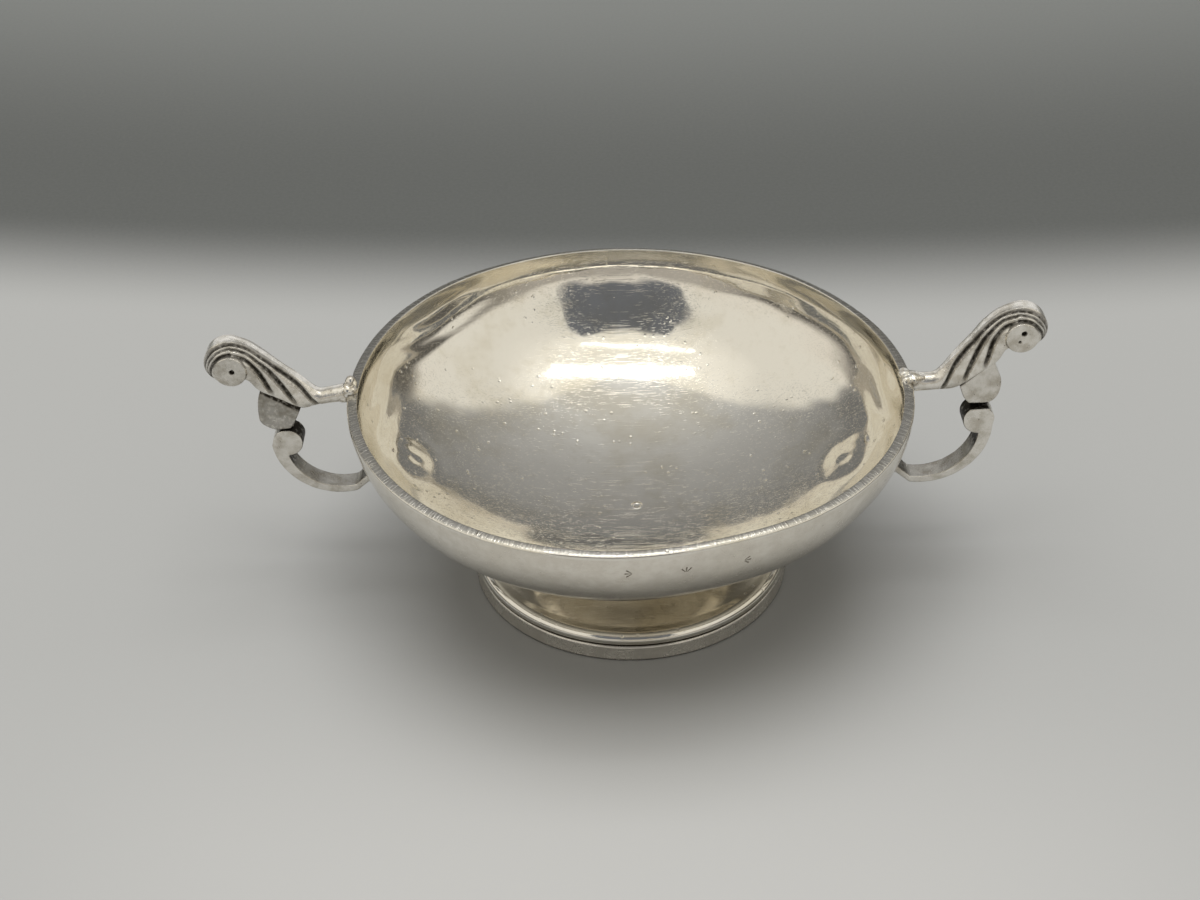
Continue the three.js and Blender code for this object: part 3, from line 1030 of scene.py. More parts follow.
@dataclass
class Bowl:
    """The raised bowl with its thickened, filed lip."""

    rim_radius: float = field(default_factory=lambda: box_mm("bowl")[1].x)
    height: float = field(default_factory=lambda: box_mm("bowl")[1].z)
    bottom: float = field(default_factory=lambda: box_mm("bowl")[0].z)
    wall: float = 1.3
    lip_width: float = 2.3
    lip_narrowing: float = 0.22
    lip_fall: float = 0.5
    lip_depth: float = 4.0
    lip_inner_round: float = 0.3
    lip_outer_round: float = 0.3
    lip_edge: float = 0.25
    crease_depth: float = 0.11
    crease_drop: float = 0.3
    nick_depth: float = 0.09
    nick_size: float = 1.2
    steps_round: int = 400
    steps_up: int = 60
    lobes: tuple[float, float] = (0.42, -0.36)
    shift: tuple[float, float] = (-0.25, 0.54)
    back_shift: float = -0.36
    pulls: tuple[tuple[float, float, float], ...] = (
        (-72.0, 13.0, -0.8),
        (147.0, 22.0, 0.45),
        (-150.0, 20.0, -0.4),
    )
    dents: tuple[tuple[float, float], ...] = ((-45.8, 0.4), (45.4, -1.9))
    dent_height: float = 26.7
    dent_size: float = 3.1
    dent_depth: float = 0.5
    hammering: Hammering = field(default_factory=Hammering)

    @property
    def depth(self) -> float:
        """Depth of the bowl's outside below its rim."""
        return self.height - self.bottom

    def out_at(self, height: float, extra: float = 0.0) -> float:
        """Radius of the outside at a height.

        Args:
            height: The height.
            extra: How far outside the surface.

        Returns:
            The radius.
        """
        down = min((self.height - height) / (self.depth + extra), 1.0)
        return (self.rim_radius + extra) * math.sqrt(1.0 - down * down)

    def skin(self) -> BMesh:
        """Turn the profile and round the lip.

        Returns:
            The bowl's mesh before the hammer touches it.
        """
        bm = bmesh.new()
        body = self.lip_fall + self.lip_edge * 1.5 + self.crease_drop
        outer_sweep = math.degrees(math.acos(body / self.depth))
        inner_depth = self.depth - self.wall
        inner_sweep = math.degrees(math.acos(self.lip_depth / inner_depth))
        inner_radius = self.rim_radius - self.wall
        outside = spun_arc(bm, self.rim_radius, self.depth, self.height, outer_sweep, self.steps_up)
        inside = spun_arc(bm, inner_radius, inner_depth, self.height, inner_sweep, self.steps_up)
        edge = Vector((outside[-1].co.x, outside[-1].co.z))
        crease = edge + Vector((-self.crease_depth, self.crease_drop))
        brim = crease + Vector((self.crease_depth, self.lip_edge / 2))
        crown = brim + Vector((0.0, self.lip_edge))
        lip_in = Vector((self.rim_radius - self.lip_width, self.height))
        below = Vector((inside[-1].co.x, inside[-1].co.z))
        under_lip = [lip_in.lerp(below, share) for share in (0.0, 0.3, 0.6)]
        made = chained(bm, [crease, brim, crown] + under_lip, outside[-1])
        bm.edges.new((made[-1], inside[-1]))
        top_edge = bm.edges.get((made[2], made[3]))
        across = bmesh.ops.subdivide_edges(bm, edges=[top_edge], cuts=4)["geom_inner"]
        for v in across:
            if isinstance(v, BMVert):
                share = (v.co.x - lip_in.x) / self.lip_width
                v.co.z = self.height - self.lip_fall * share**1.7
        turned(bm, self.steps_round)
        rounded(bm, rings_at(bm, lip_in.x, lip_in.y), self.lip_inner_round)
        rounded(bm, rings_at(bm, crown.x, crown.y), self.lip_outer_round)
        return bm

    def dent(self, spot: Vector) -> float:
        """How far a spot is pushed into the bowl where a scroll's end was soldered outside.

        Args:
            spot: The spot on the bowl.

        Returns:
            The depth of the dent there.
        """
        total = 0.0
        bent = spot + Vector((0, 1.6, 1.2)) * noise.noise(spot / 3.6)
        for x, y in self.dents:
            away = bent - Vector((x, y, self.dent_height))
            away = Vector((away.x, away.y * 0.8, away.z)).length / self.dent_size
            total += math.exp(-away * away) * (1.0 - 0.9 * math.exp(-((away / 0.5) ** 2)))
            total -= 0.35 * math.exp(-(((away - 1.9) / 0.8) ** 2))
        return self.dent_depth * total

    def drawn(self, turn: float, share: float) -> Vector:
        """How far the rim is drawn out of round.

        Args:
            turn: Angle about the cup's axis.
            share: How much of the rim's own move applies at this radius.

        Returns:
            The move.
        """
        out = Vector((math.cos(turn), math.sin(turn), 0))
        push = self.lobes[0] * math.cos(3 * turn) + self.lobes[1] * math.sin(3 * turn)
        for at, spread, amount in self.pulls:
            away = (math.degrees(turn) - at + 180.0) % 360.0 - 180.0
            push += amount * math.exp(-((away / spread) ** 2))
        back = smoothstep(0.72, 1.0, out.y)
        shift = Vector((self.shift[0], self.shift[1] + (self.back_shift - self.shift[1]) * back, 0))
        return (out * push + shift) * share

    def shaped(self, bm: BMesh) -> None:
        """Hammer, dent and crease the sheet, and draw the rim out of round.

        Args:
            bm: The bowl's mesh.
        """
        middle = Vector((0, 0, self.height))
        squash = Vector((self.rim_radius**-2, self.rim_radius**-2, self.depth**-2))
        layer = bm.verts.layers.float.new("lip")
        outer_layer = bm.verts.layers.float.new("outside")
        for v in bm.verts:
            spot = v.co.copy()
            away = spot - middle
            out = (away * squash).normalized()
            radius = spot.xy.length
            inside = smoothstep(0.99, 0.965, away.dot(away * squash))
            v[outer_layer] = (1.0 - inside) * smoothstep(self.height - 0.9, self.height - 1.2, spot.z)
            move = self.hammering.height(spot) + self.hammering.rings(spot) * inside - self.dent(spot)
            turn = math.atan2(spot.y, spot.x)
            across = (self.rim_radius - radius) / self.lip_width
            if spot.z > self.height - self.lip_fall - 0.1 and 0.09 < across < 0.93:
                v[layer] = 0.5 + 0.5 * across
            on_edge = smoothstep(self.rim_radius - 0.9, self.rim_radius - 0.3, radius)
            on_edge *= smoothstep(self.height - 1.7, self.height - 1.2, spot.z)
            around = Vector((math.cos(turn), math.sin(turn), 0.1))
            chip = noise.noise(around * self.rim_radius / self.nick_size)
            move -= self.nick_depth * on_edge * smoothstep(0.25, 0.6, chip)
            move -= 0.05 * on_edge * (1 + noise.noise(Vector((math.cos(turn), math.sin(turn), 0.3)) * 9))
            if radius > 0:
                narrow = self.lip_narrowing * math.sin(turn) ** 2
                narrow *= smoothstep(self.height - self.lip_depth, self.height - 0.6, spot.z)
                spot.xy *= 1.0 + (self.rim_radius - radius) * narrow / radius
            v.co = spot + out * move + self.drawn(turn, (radius / self.rim_radius) ** 3)
            v.co.y = min(v.co.y, self.rim_radius)
            v.co.z = min(v.co.z, self.height)

    def build(self) -> None:
        """Make the bowl."""
        bm = self.skin()
        self.shaped(bm)
        finished("raised_bowl", bm, Matrix(), "bowl", SheetSilver(), 50.0)


# The foot


@dataclass
class Foot:
    """The pedestal with its roll, the strip round its edge and the solder at its neck."""

    bowl: Bowl
    radius: float = field(default_factory=lambda: box_mm("foot_band")[1].x)
    band_height: float = field(default_factory=lambda: box_mm("foot_band")[1].z)
    neck_height: float = field(default_factory=lambda: box_mm("foot")[1].z)
    band_width: float = 1.9
    band_flare: float = 0.45
    band_round: float = 0.55
    wall: float = 1.0
    seam: float = 0.3
    roll_rise: float = 1.4
    roll_width: float = 2.0
    roll_height: float = 1.55
    roll_start: float = -62.0
    roll_sweep: float = 144.0
    roll_steps: int = 24
    cone_steps: int = 44
    neck_radius: float = 15.0
    neck_flare: float = 1.5
    cone_rise: float = 1.6
    bead_radius: float = 0.7
    steps_round: int = 240

    def pedestal(self) -> None:
        """Turn the pedestal's outer line and give it the sheet's thickness."""
        bm = bmesh.new()
        skirt = self.radius - self.band_width - self.seam
        roll_centre = Vector((skirt, self.band_height + self.roll_rise))
        turns = [self.roll_start + self.roll_sweep * i / self.roll_steps for i in range(self.roll_steps + 1)]
        roll = [polar(Vector((0, 0)), 1.0, turn) for turn in turns]
        roll = [roll_centre + Vector((p.x * self.roll_width, p.y * self.roll_height)) for p in roll]
        shoulder = roll[-1]
        cone = [
            Vector((shoulder.x - self.wall, shoulder.y)),
            Vector(((shoulder.x + self.neck_radius) / 2, shoulder.y + self.cone_rise)),
            Vector((self.neck_radius + self.neck_flare, shoulder.y + self.cone_rise)),
            Vector((self.neck_radius, self.neck_height)),
        ]
        line = [Vector((skirt, 0.0)), Vector((skirt, self.band_height * 0.5))] + roll
        for i in range(self.cone_steps + 1):
            t = i / self.cone_steps
            ends = cone[0] * (1 - t) ** 3 + cone[3] * t**3
            line.append(ends + cone[1] * (3 * t * (1 - t) ** 2) + cone[2] * (3 * t * t * (1 - t)))
        chained(bm, line)
        turned(bm, self.steps_round)
        bmesh.ops.recalc_face_normals(bm, faces=bm.faces[:])
        bmesh.ops.solidify(bm, geom=bm.faces[:], thickness=self.wall)
        for v in bm.verts:
            v.co.z = max(v.co.z, 0.0)
            wave = noise.noise(v.co / 9.0) * 0.07 + noise.noise(v.co / 3.5) * 0.02
            fade = smoothstep(6.0, 8.0, v.co.z) * smoothstep(self.neck_height, self.neck_height - 1.5, v.co.z)
            v.co.z += wave * fade
        finished("pedestal_foot", bm, Matrix(), "foot", SheetSilver(), 50.0)

    def band(self) -> None:
        """Turn the strip round the foot's edge, with soft and slightly uneven edges."""
        bm = bmesh.new()
        inner = self.radius - self.band_width
        top = self.radius - self.band_flare
        corners = (
            Vector((inner, 0)),
            Vector((self.radius, 0)),
            Vector((top, self.band_height)),
            Vector((inner, self.band_height)),
        )
        made = chained(bm, corners)
        bm.edges.new((made[-1], made[0]))
        side = bm.edges.get((made[1], made[2]))
        bmesh.ops.subdivide_edges(bm, edges=[side], cuts=7)
        turned(bm, self.steps_round)
        for point in corners:
            rounded(bm, rings_at(bm, point.x, point.y), self.band_round, 3)
        for v in bm.verts:
            turn = math.atan2(v.co.y, v.co.x)
            wear = noise.noise(Vector((math.cos(turn) * 5, math.sin(turn) * 5, v.co.z * 0.4)))
            dish = math.sin(math.pi * min(max(v.co.z / self.band_height, 0), 1))
            outer = smoothstep(inner + 0.8, inner + 1.2, v.co.xy.length)
            pull = outer * (0.07 * (wear + 0.5) + 0.10 * dish)
            v.co.x -= math.cos(turn) * pull
            v.co.y -= math.sin(turn) * pull
        finished("foot_strip", bm, Matrix(), "foot_band", BandSilver(), 60.0)

    def bead(self) -> None:
        """Turn the bead of solder between the neck and the bowl, a little lumpy."""
        bm = bmesh.new()
        out = self.neck_radius + self.seam + self.bead_radius
        low, high = box_mm("neck_solder")
        ring = bmesh.ops.create_circle(bm, segments=20, radius=self.bead_radius)["verts"]
        bmesh.ops.rotate(bm, cent=(0, 0, 0), matrix=Matrix.Rotation(math.pi / 2, 3, "X"), verts=ring)
        bmesh.ops.translate(bm, vec=(out, 0, (low.z + high.z) / 2), verts=ring)
        turned(bm, self.steps_round)
        for v in bm.verts:
            lump = noise.noise(v.co / 1.4) * 0.16
            v.co.xy -= v.co.xy.normalized() * (0.12 + lump)
        finished("neck_bead", bm, Matrix(), "neck_solder", SolderSilver())

    def build(self) -> None:
        """Make the foot's three pieces."""
        self.pedestal()
        self.band()
        self.bead()


# The handles, with points as (out, up) in millimetres from the spot on the lip where each is soldered


@dataclass(frozen=True)
class Flute:
    """A groove along both sides of the arm.

    Its shares give how far up from the underside to the crown it runs, one for each station along the arm.
    Below 0 it hasn't left the underside yet.
    """

    shares: tuple[float, ...]

    def share(self, station: float) -> float:
        """Share of the way up at a station."""
        line = [Vector((share, 0.0)) for share in self.shares]
        return spline(line, station / (len(self.shares) - 1)).x

    def strength(self, station: float) -> float:
        """How much of its full depth the groove has at a station, from 0 to 1."""
        return smoothstep(0.0, 0.28, self.share(station)) * smoothstep(16.8, 14.6, station)


@dataclass(frozen=True)
class Lump:
    """A blob of solder: its middle (out, across, up) and half sizes."""

    middle: tuple[float, float, float]
    half: tuple[float, float, float]


@dataclass(frozen=True)
class HandleShape:
    """What differs between the two handles, which were cast in one mould but filed and set by hand."""

    side: Side
    arm_angle: float
    scroll_angle: float
    neck_top: float
    back_foot: tuple[float, float]
    back_top: tuple[float, float]
    shoulder: tuple[float, float]
    neck_under_start: float
    neck_under_end: float
    soil: float
    pits: tuple[tuple[float, float, float], ...]
    lug_outline: tuple[tuple[float, float], ...]
    lug_set_back: float
    lug_cove: float
    volute: tuple[float, float]
    volute_radius: float
    scroll_radius: float
    scroll_centre: tuple[float, float]
    rim_lumps: tuple[Lump, ...]


RIGHT_HANDLE = HandleShape(
    side=Side.RIGHT,
    arm_angle=4.8,
    scroll_angle=3.0,
    neck_top=0.65,
    back_foot=(6.8, 1.6),
    back_top=(15.6, 11.8),
    shoulder=(18.5, 14.1),
    neck_under_start=-3.1,
    neck_under_end=-3.05,
    soil=0.04,
    pits=((22.95, 10.6, 0.62), (22.1, 8.8, 0.32)),
    lug_outline=(
        (10.7, -2.0),
        (11.0, -3.5),
        (11.5, -5.1),
        (12.5, -6.4),
        (12.5, -6.4),
        (16.5, -6.8),
        (17.4, -6.4),
        (18.5, -5.2),
        (19.1, -3.0),
        (19.1, -0.9),
        (18.4, 0.7),
        (17.8, 2.6),
        (17.8, 3.7),
    ),
    lug_set_back=1.5,
    lug_cove=0.35,
    volute=(14.95, -10.2),
    volute_radius=3.25,
    scroll_radius=14.05,
    scroll_centre=(3.85, -11.2),
    rim_lumps=(
        Lump((-0.35, 0.5, 0.75), (1.3, 1.7, 1.15)),
        Lump((-0.15, -1.2, -0.35), (1.25, 1.5, 1.6)),
        Lump((1.2, -0.3, 0.05), (1.7, 2.1, 1.35)),
        Lump((1.5, 0.0, -0.95), (2.0, 2.1, 1.85)),
        Lump((2.9, -0.9, 0.1), (0.9, 1.0, 0.75)),
    ),
)

LEFT_HANDLE = HandleShape(
    side=Side.LEFT,
    arm_angle=-4.8,
    scroll_angle=-3.0,
    neck_top=1.15,
    back_foot=(6.9, 1.3),
    back_top=(16.0, 11.1),
    shoulder=(18.6, 13.6),
    neck_under_start=-2.0,
    neck_under_end=-2.2,
    soil=0.22,
    pits=((22.2, 9.5, 0.6),),
    lug_outline=(
        (10.7, -2.0),
        (12.2, -4.65),
        (13.7, -6.75),
        (13.7, -6.75),
        (16.4, -6.8),
        (17.7, -6.45),
        (19.3, -5.15),
        (19.7, -4.1),
        (19.7, -4.1),
        (19.6, -1.6),
        (19.0, 1.2),
        (18.2, 3.0),
        (17.8, 3.7),
    ),
    lug_set_back=0.7,
    lug_cove=1.35,
    volute=(14.65, -10.5),
    volute_radius=3.1,
    scroll_radius=13.4,
    scroll_centre=(4.65, -10.55),
    rim_lumps=(
        Lump((-0.1, -0.4, 1.65), (1.2, 1.3, 1.5)),
        Lump((-0.5, 0.9, 0.4), (1.0, 1.4, 1.2)),
        Lump((0.6, 0.0, 0.4), (1.4, 2.0, 1.5)),
        Lump((1.5, 0.0, -0.65), (2.0, 2.1, 1.75)),
        Lump((2.7, 0.8, 0.2), (0.9, 1.0, 0.7)),
    ),
)


@dataclass
class Handle:
    """One cast handle: the fluted arm, the filed lug, the C-scroll, and the solder that holds them."""

    bowl: Bowl
    shape: HandleShape
    solder_inset: float = 1.0
    solder_drop: float = 0.4
    arm_start: float = 1.3
    neck_dip_out: float = 5.0
    neck_end: float = 8.0
    neck_half_width: float = 2.0
    throat: Vector = field(default_factory=lambda: Vector((19.4, 6.7)))
    eye: Vector = field(default_factory=lambda: Vector((22.6, 9.5)))
    disc_radius: float = 3.3
    disc_proud: float = 0.22
    head_radius: float = 5.7
    head_tail_radius: float = 3.7
    head_core: float = 0.6
    head_start: float = 102.0
    head_sweep: float = 207.0
    shank_steps: int = 120
    head_steps: int = 60
    head_stations: int = 10
    head_half_width: float = 4.0
    shank_flute_depth: float = 0.95
    head_flute_depth: float = 0.62
    flute_reach: float = 1.0
    arch_power: float = 1.75
    seat_inner: Vector = field(default_factory=lambda: Vector((10.5, -1.7)))
    seat_outer: Vector = field(default_factory=lambda: Vector((17.8, 3.95)))
    lug_thickness: float = 3.8
    lug_foot_up: float = -7.4
    strap_width: float = 4.6
    strap_top: float = 2.9
    strap_tip: float = 1.5
    arc_reduction: float = 0.4
    tail_angle: float = 258.0
    wall_seat_drop: float = 16.6
    wall_lumps: tuple[Lump, ...] = (
        Lump((0.2, 0.0, 0.0), (1.1, 3.0, 1.6)),
        Lump((0.5, 0.4, -0.2), (1.1, 2.2, 1.3)),
    )
    voxel: float = 0.13
    rim_voxel: float = 0.14
    wall_voxel: float = 0.16
    solder_smoothing: int = 5
    flutes: tuple[Flute, ...] = (
        Flute((-2.0, -1.5, -1.1, -0.7, -0.1, 0.36, 0.545, 0.65, 0.61)
              + (0.585, 0.585, 0.60, 0.65, 0.75, 0.88, 0.93, 0.93, 0.93, 0.93)),
        Flute((-1.6, -1.1, -0.55, -0.03, 0.46, 0.735, 0.785, 0.83, 0.80)
              + (0.765, 0.75, 0.755, 0.79, 0.84, 0.89, 0.90, 0.90, 0.90, 0.90)),
        Flute((-0.9, -0.3, 0.36, 0.77, 0.90, 0.93, 0.94, 0.945, 0.925)
              + (0.895, 0.885, 0.89, 0.905, 0.925, 0.94, 0.95, 0.95, 0.95, 0.95)),
    )

    def place(self, degrees: float) -> Matrix:
        """Where a piece goes on the cup.

        Args:
            degrees: How far the piece is turned up about the spot on the lip.

        Returns:
            The matrix from the handle's measures to the cup's, in millimetres.
        """
        root = Vector((self.bowl.rim_radius - self.solder_inset, 0, self.bowl.height - self.solder_drop))
        about = Matrix.Rotation(math.radians(self.shape.side.value), 4, "Z")
        return about @ Matrix.Translation(root) @ Matrix.Rotation(-math.radians(degrees), 4, "Y")

    def placed(self, name: str, bm: BMesh, node: str, degrees: float, finish: Finish) -> None:
        """Finish one of the handle's pieces.

        Args:
            name: Name of the piece, less the side.
            bm: Its mesh.
            node: The CAD node that it stands for, less the side.
            degrees: How far it is turned up about the spot on the lip.
            finish: Its material.
        """
        word = self.shape.side.word
        finished(f"{word}_{name}", bm, self.place(degrees), f"{word}_{node}", finish)

    def half_section(self, tall: float, station: float, half_width: float) -> list[Vector]:
        """Half of the arm's section without its flutes: round at the neck, and a flat-sided arch farther out.

        Args:
            tall: Height of the section.
            station: Place along the arm.
            half_width: Half width at the underside.

        Returns:
            Points (across, up) from the middle of the underside to the crown.
        """
        bottom_steps = 6
        corner_steps = 4
        side_steps = 76
        soft = min(0.45, tall * 0.2)
        corner = Vector((half_width - soft, soft))
        line = [Vector((corner.x, 0)) * (i / bottom_steps) for i in range(bottom_steps)]
        line += [polar(corner, soft, -90 + 90 * i / corner_steps) for i in range(corner_steps + 1)]
        first = line[-1].y / tall
        for i in range(1, side_steps + 1):
            rise = first + (1.0 - first) * (1.0 - (1.0 - i / side_steps) ** 1.7)
            across = math.sqrt(max(1.0 - (rise - first) ** self.arch_power, 0.0))
            line.append(Vector((half_width * across, rise * tall)))
        line[-1] = Vector((0.0, tall))
        arched = smoothstep(1.2, 3.4, station)
        count = len(line) - 1
        for i, point in enumerate(line):
            turn = -math.pi / 2 + math.pi * i / count
            oval = Vector((half_width * math.cos(turn), tall / 2 * (1 + math.sin(turn))))
            line[i] = oval.lerp(point, arched)
        return line

    def carved(self, line: list[Vector], tall: float, station: float) -> tuple[list[Vector], list[float]]:
        """Cut the flutes into half a section. The metal between two of them is left as a round cord.

        Args:
            line: The half section.
            tall: Its height.
            station: Place along the arm.

        Returns:
            The carved half section, and how deep in a flute each point lies from 0 to 1.
        """
        run = [0.0]
        for a, b in zip(line, line[1:]):
            run.append(run[-1] + (b - a).length)

        def run_at(share: float) -> float:
            """Way along the half section up to a share of its height.

            Args:
                share: Share of the height.

            Returns:
                The way, measured along the line.
            """
            for i in range(1, len(line)):
                if line[i].y >= share * tall and line[i].y > 0:
                    return run[i]
            return run[-1]

        places = [run_at(flute.share(station)) for flute in self.flutes]
        full = self.head_flute_depth
        full += (self.shank_flute_depth - full) * smoothstep(8.5, 6.0, station)
        cuts = [0.0] * len(line)
        deeps = [0.0] * len(line)
        for k, flute in enumerate(self.flutes):
            strength = flute.strength(station)
            if strength <= 0:
                continue
            below = self.flute_reach
            above = self.flute_reach
            if k > 0 and self.flutes[k - 1].strength(station) > 0:
                below = (places[k] - places[k - 1]) / 2
            if k + 1 < len(places):
                above = (places[k + 1] - places[k]) / 2
            above = min(above, (run[-1] - places[k]) * 0.8)
            below = min(max(below, 0.28), self.flute_reach)
            above = min(max(above, 0.28), self.flute_reach)
            depth = strength * min(full, 0.85 * (below + above) / 2 + 0.12)
            for i, spot in enumerate(run):
                away = (places[k] - spot) / below if spot < places[k] else (spot - places[k]) / above
                if away < 1.0:
                    cuts[i] += depth * (1.0 - away) ** 2
                    deeps[i] = max(deeps[i], strength * (1.0 - away) ** 1.6)
        made = []
        for i, point in enumerate(line):
            before = line[max(i - 1, 0)]
            after = line[min(i + 1, len(line) - 1)]
            along = (after - before).normalized()
            out = Vector((along.y, -along.x))
            cut = min(cuts[i], 0.55 * point.x + 0.05)
            moved = point - out * cut if 0 < i < len(line) - 1 else point
            made.append(Vector((max(moved.x, 0.0), moved.y)))
        return made, deeps

    def section(
        self, low: Vector, high: Vector, station: float, half_width: float
    ) -> tuple[list[Vector], list[float]]:
        """A ring round the arm.

        Args:
            low: Its point on the underside, as (out, up).
            high: Its point on the crown.
            station: Place along the arm.
            half_width: Half width at the underside.

        Returns:
            Points round the section from the middle of the underside, and how deep in a flute each lies.
        """
        tall = (high - low).length
        up = (high - low) / tall
        half, deeps = self.carved(self.half_section(tall, station, half_width), tall, station)

        def at(point: Vector, sign: float) -> Vector:
            """The spot in space of a point of the half section, on the side that the sign gives."""
            spot = low + up * point.y
            return Vector((spot.x, sign * point.x, spot.y))

        near = [at(point, -1.0) for point in half]
        far = [at(point, 1.0) for point in reversed(half[1:-1])]
        return near + far, deeps + list(reversed(deeps[1:-1]))

    def arm_rings(self) -> tuple[list[list[Vector]], list[list[float]]]:
        """Rings up the shank, and then those that turn about the eye.

        Returns:
            The rings in order, and how deep in a flute each of their points lies.
        """
        under = [
            Vector((self.arm_start, self.shape.neck_under_start)),
            Vector((self.neck_dip_out, (self.shape.neck_under_start + self.shape.neck_under_end) / 2)),
            Vector((self.neck_end, self.shape.neck_under_end)),
            self.seat_inner,
            self.seat_inner.lerp(self.seat_outer, 0.5),
            self.seat_outer,
            self.throat,
            polar(self.eye, self.disc_radius * 0.8, 225),
            polar(self.eye, self.disc_radius * 0.3, 225),
        ]
        neck_top = self.shape.neck_top
        crown = [Vector((self.arm_start, neck_top + 0.5)), Vector((self.neck_dip_out, neck_top))]
        back_foot = Vector(self.shape.back_foot)
        back_top = Vector(self.shape.back_top)
        crown += [back_foot.lerp(back_top, share) for share in (0.0, 0.26, 0.51, 0.76, 1.0)]
        crown += [Vector(self.shape.shoulder), polar(self.eye, self.head_radius, self.head_start)]
        stations = len(under) - 1
        rings = []
        for i in range(self.shank_steps + 1):
            share = i / self.shank_steps
            station = share * stations
            widening = smoothstep(1.0, stations - 1, station)
            half_width = self.neck_half_width + (self.head_half_width - self.neck_half_width) * widening
            rings.append(self.section(spline(under, share), spline(crown, share), station, half_width))
        for i in range(1, self.head_steps + 1):
            share = i / self.head_steps
            turn = self.head_start - self.head_sweep * share
            drawn_in = smoothstep(0.45, 1.0, share)
            reach = self.head_radius + (self.head_tail_radius - self.head_radius) * drawn_in
            low = polar(self.eye, self.head_core, turn)
            high = polar(self.eye, reach, turn)
            station = stations + i * self.head_stations / self.head_steps
            rings.append(self.section(low, high, station, self.head_half_width))
        return [ring for ring, _ in rings], [deeps for _, deeps in rings]

    def arm(self) -> None:
        """Make the arm: loft the shank and head, melt in the eye's disc, and punch its pits."""
        bm = bmesh.new()
        rings, deeps = self.arm_rings()
        lofted(bm, rings)
        half = self.head_half_width + self.disc_proud
        size = self.disc_radius
        disc = bmesh.ops.create_cone(
            bm, cap_ends=True, segments=72, radius1=size, radius2=size, depth=2 * half
        )["verts"]
        rims = {e for v in disc for e in v.link_edges if abs(e.verts[0].co.z - e.verts[1].co.z) < WELD}
        kept = set(bm.verts) - set(disc)
        rounded(bm, list(rims), 0.2, 3)
        disc = [v for v in bm.verts if v not in kept]
        turn = Matrix.Translation((self.eye.x, 0, self.eye.y)) @ Matrix.Rotation(math.pi / 2, 4, "X")
        bmesh.ops.transform(bm, matrix=turn, verts=disc)
        bm = fused(bm, self.voxel, 1)

        spots = [(spot, deep) for ring, row in zip(rings, deeps) for spot, deep in zip(ring, row)]
        tree = KDTree(len(spots))
        for i, (spot, _) in enumerate(spots):
            tree.insert(spot, i)
        tree.balance()

        def patina_and_shade(spot: Vector) -> float:
            """Patina in the pits and flutes, and a film of it on a dirtier handle's faces.

            Args:
                spot: The spot on the arm.

            Returns:
                The share of patina there.
            """
            flat = Vector((spot.x, spot.z))
            pit = 0.0
            for out, up, radius in self.shape.pits:
                pit = max(pit, smoothstep(radius * 1.1, radius * 0.7, (flat - Vector((out, up))).length))
            if abs(spot.y) < self.head_half_width - 1.2:
                pit = 0.0
            on_disc = smoothstep(self.disc_radius + 0.05, self.disc_radius - 0.15, (flat - self.eye).length)
            on_disc *= smoothstep(self.head_half_width - 0.4, self.head_half_width, abs(spot.y))
            groove = spots[tree.find(spot)[1]][1] * (1.0 - on_disc)
            face = smoothstep(self.head_half_width - 1.6, self.head_half_width - 0.3, abs(spot.y))
            return max(pit, groove**0.7, self.shape.soil * face)

        noted_patina_and_shade(bm, patina_and_shade)
        for v in bm.verts:
            spot = Vector((v.co.x, v.co.z))
            if abs(v.co.y) > self.head_half_width - 0.6:
                for out, up, radius in self.shape.pits:
                    away = (spot - Vector((out, up))).length / radius
                    ragged = 1.0 + 0.35 * noise.noise(v.co * 1.7)
                    sunk = 1.1 * radius * (1.0 - smoothstep(0.45, 1.0, away * ragged))
                    v.co.y -= math.copysign(sunk, v.co.y)
            v.co += v.normal * noise.noise(v.co / 2.4) * 0.025
        self.placed("fluted_arm", bm, "arm", self.shape.arm_angle, CastSilver())

    def lug(self) -> None:
        """Make the lug: a filed shield in front of a narrower block that reaches the scroll."""
        bm = bmesh.new()
        corners = [Vector(point) for point in self.shape.lug_outline]
        slab(bm, softened([corners[0]] + corners + [corners[-1]]), self.lug_thickness, 0.28)
        turn = Matrix.Rotation(math.radians(self.shape.scroll_angle - self.shape.arm_angle), 2)
        volute = Vector(self.shape.volute)
        foot = [turn @ Vector((volute.x + out, self.lug_foot_up)) for out in (-1.6, 2.1)]
        block = [Vector((12.5, -3.0)), foot[0], foot[1], Vector((18.0, -3.0))]
        slab(bm, block, self.lug_thickness - 2 * self.shape.lug_set_back, 0.3)
        bm = fused(bm, self.voxel, 2)
        along = (self.seat_outer - self.seat_inner).normalized()
        down = Vector((along.y, -along.x))

        def patina_and_shade(spot: Vector) -> float:
            """Painted shade, with some patina, under the seam where the arm's edge overhangs; painted shade
            at the foot; patina in the nicks of the edges; and a film all over.

            Args:
                spot: The spot on the lug.

            Returns:
                The share of patina and painted shade there.
            """
            flat = Vector((spot.x, spot.z))
            below_seam = (flat - self.seat_inner).dot(down)
            # Painted shade: a dark band under the arm's seam, partly patina, and a dark band at the lug's
            # foot.
            cove = smoothstep(self.shape.lug_cove + 0.45, self.shape.lug_cove, below_seam)
            foot_shade = smoothstep(-6.5, -6.9, spot.z)
            edge = smoothstep(self.lug_thickness / 2 - 0.05, self.lug_thickness / 2 - 0.3, abs(spot.y))
            nicks = edge * smoothstep(0.15, 0.4, noise.noise(spot / 0.9)) * 0.35
            return max(cove * 0.9, foot_shade * 0.9, nicks, self.shape.soil * 2.1)

        noted_patina_and_shade(bm, patina_and_shade)
        for v in bm.verts:
            flat = Vector((v.co.x, v.co.z))
            hollow = self.shape.lug_cove - (flat - self.seat_inner).dot(down)
            v.co.y -= math.copysign(0.35 * smoothstep(-0.6, 0.6, hollow), v.co.y)
            v.co += v.normal * noise.noise(v.co / 2.6) * 0.03
        self.placed("filed_lug", bm, "lug", self.shape.arm_angle, CastSilver())

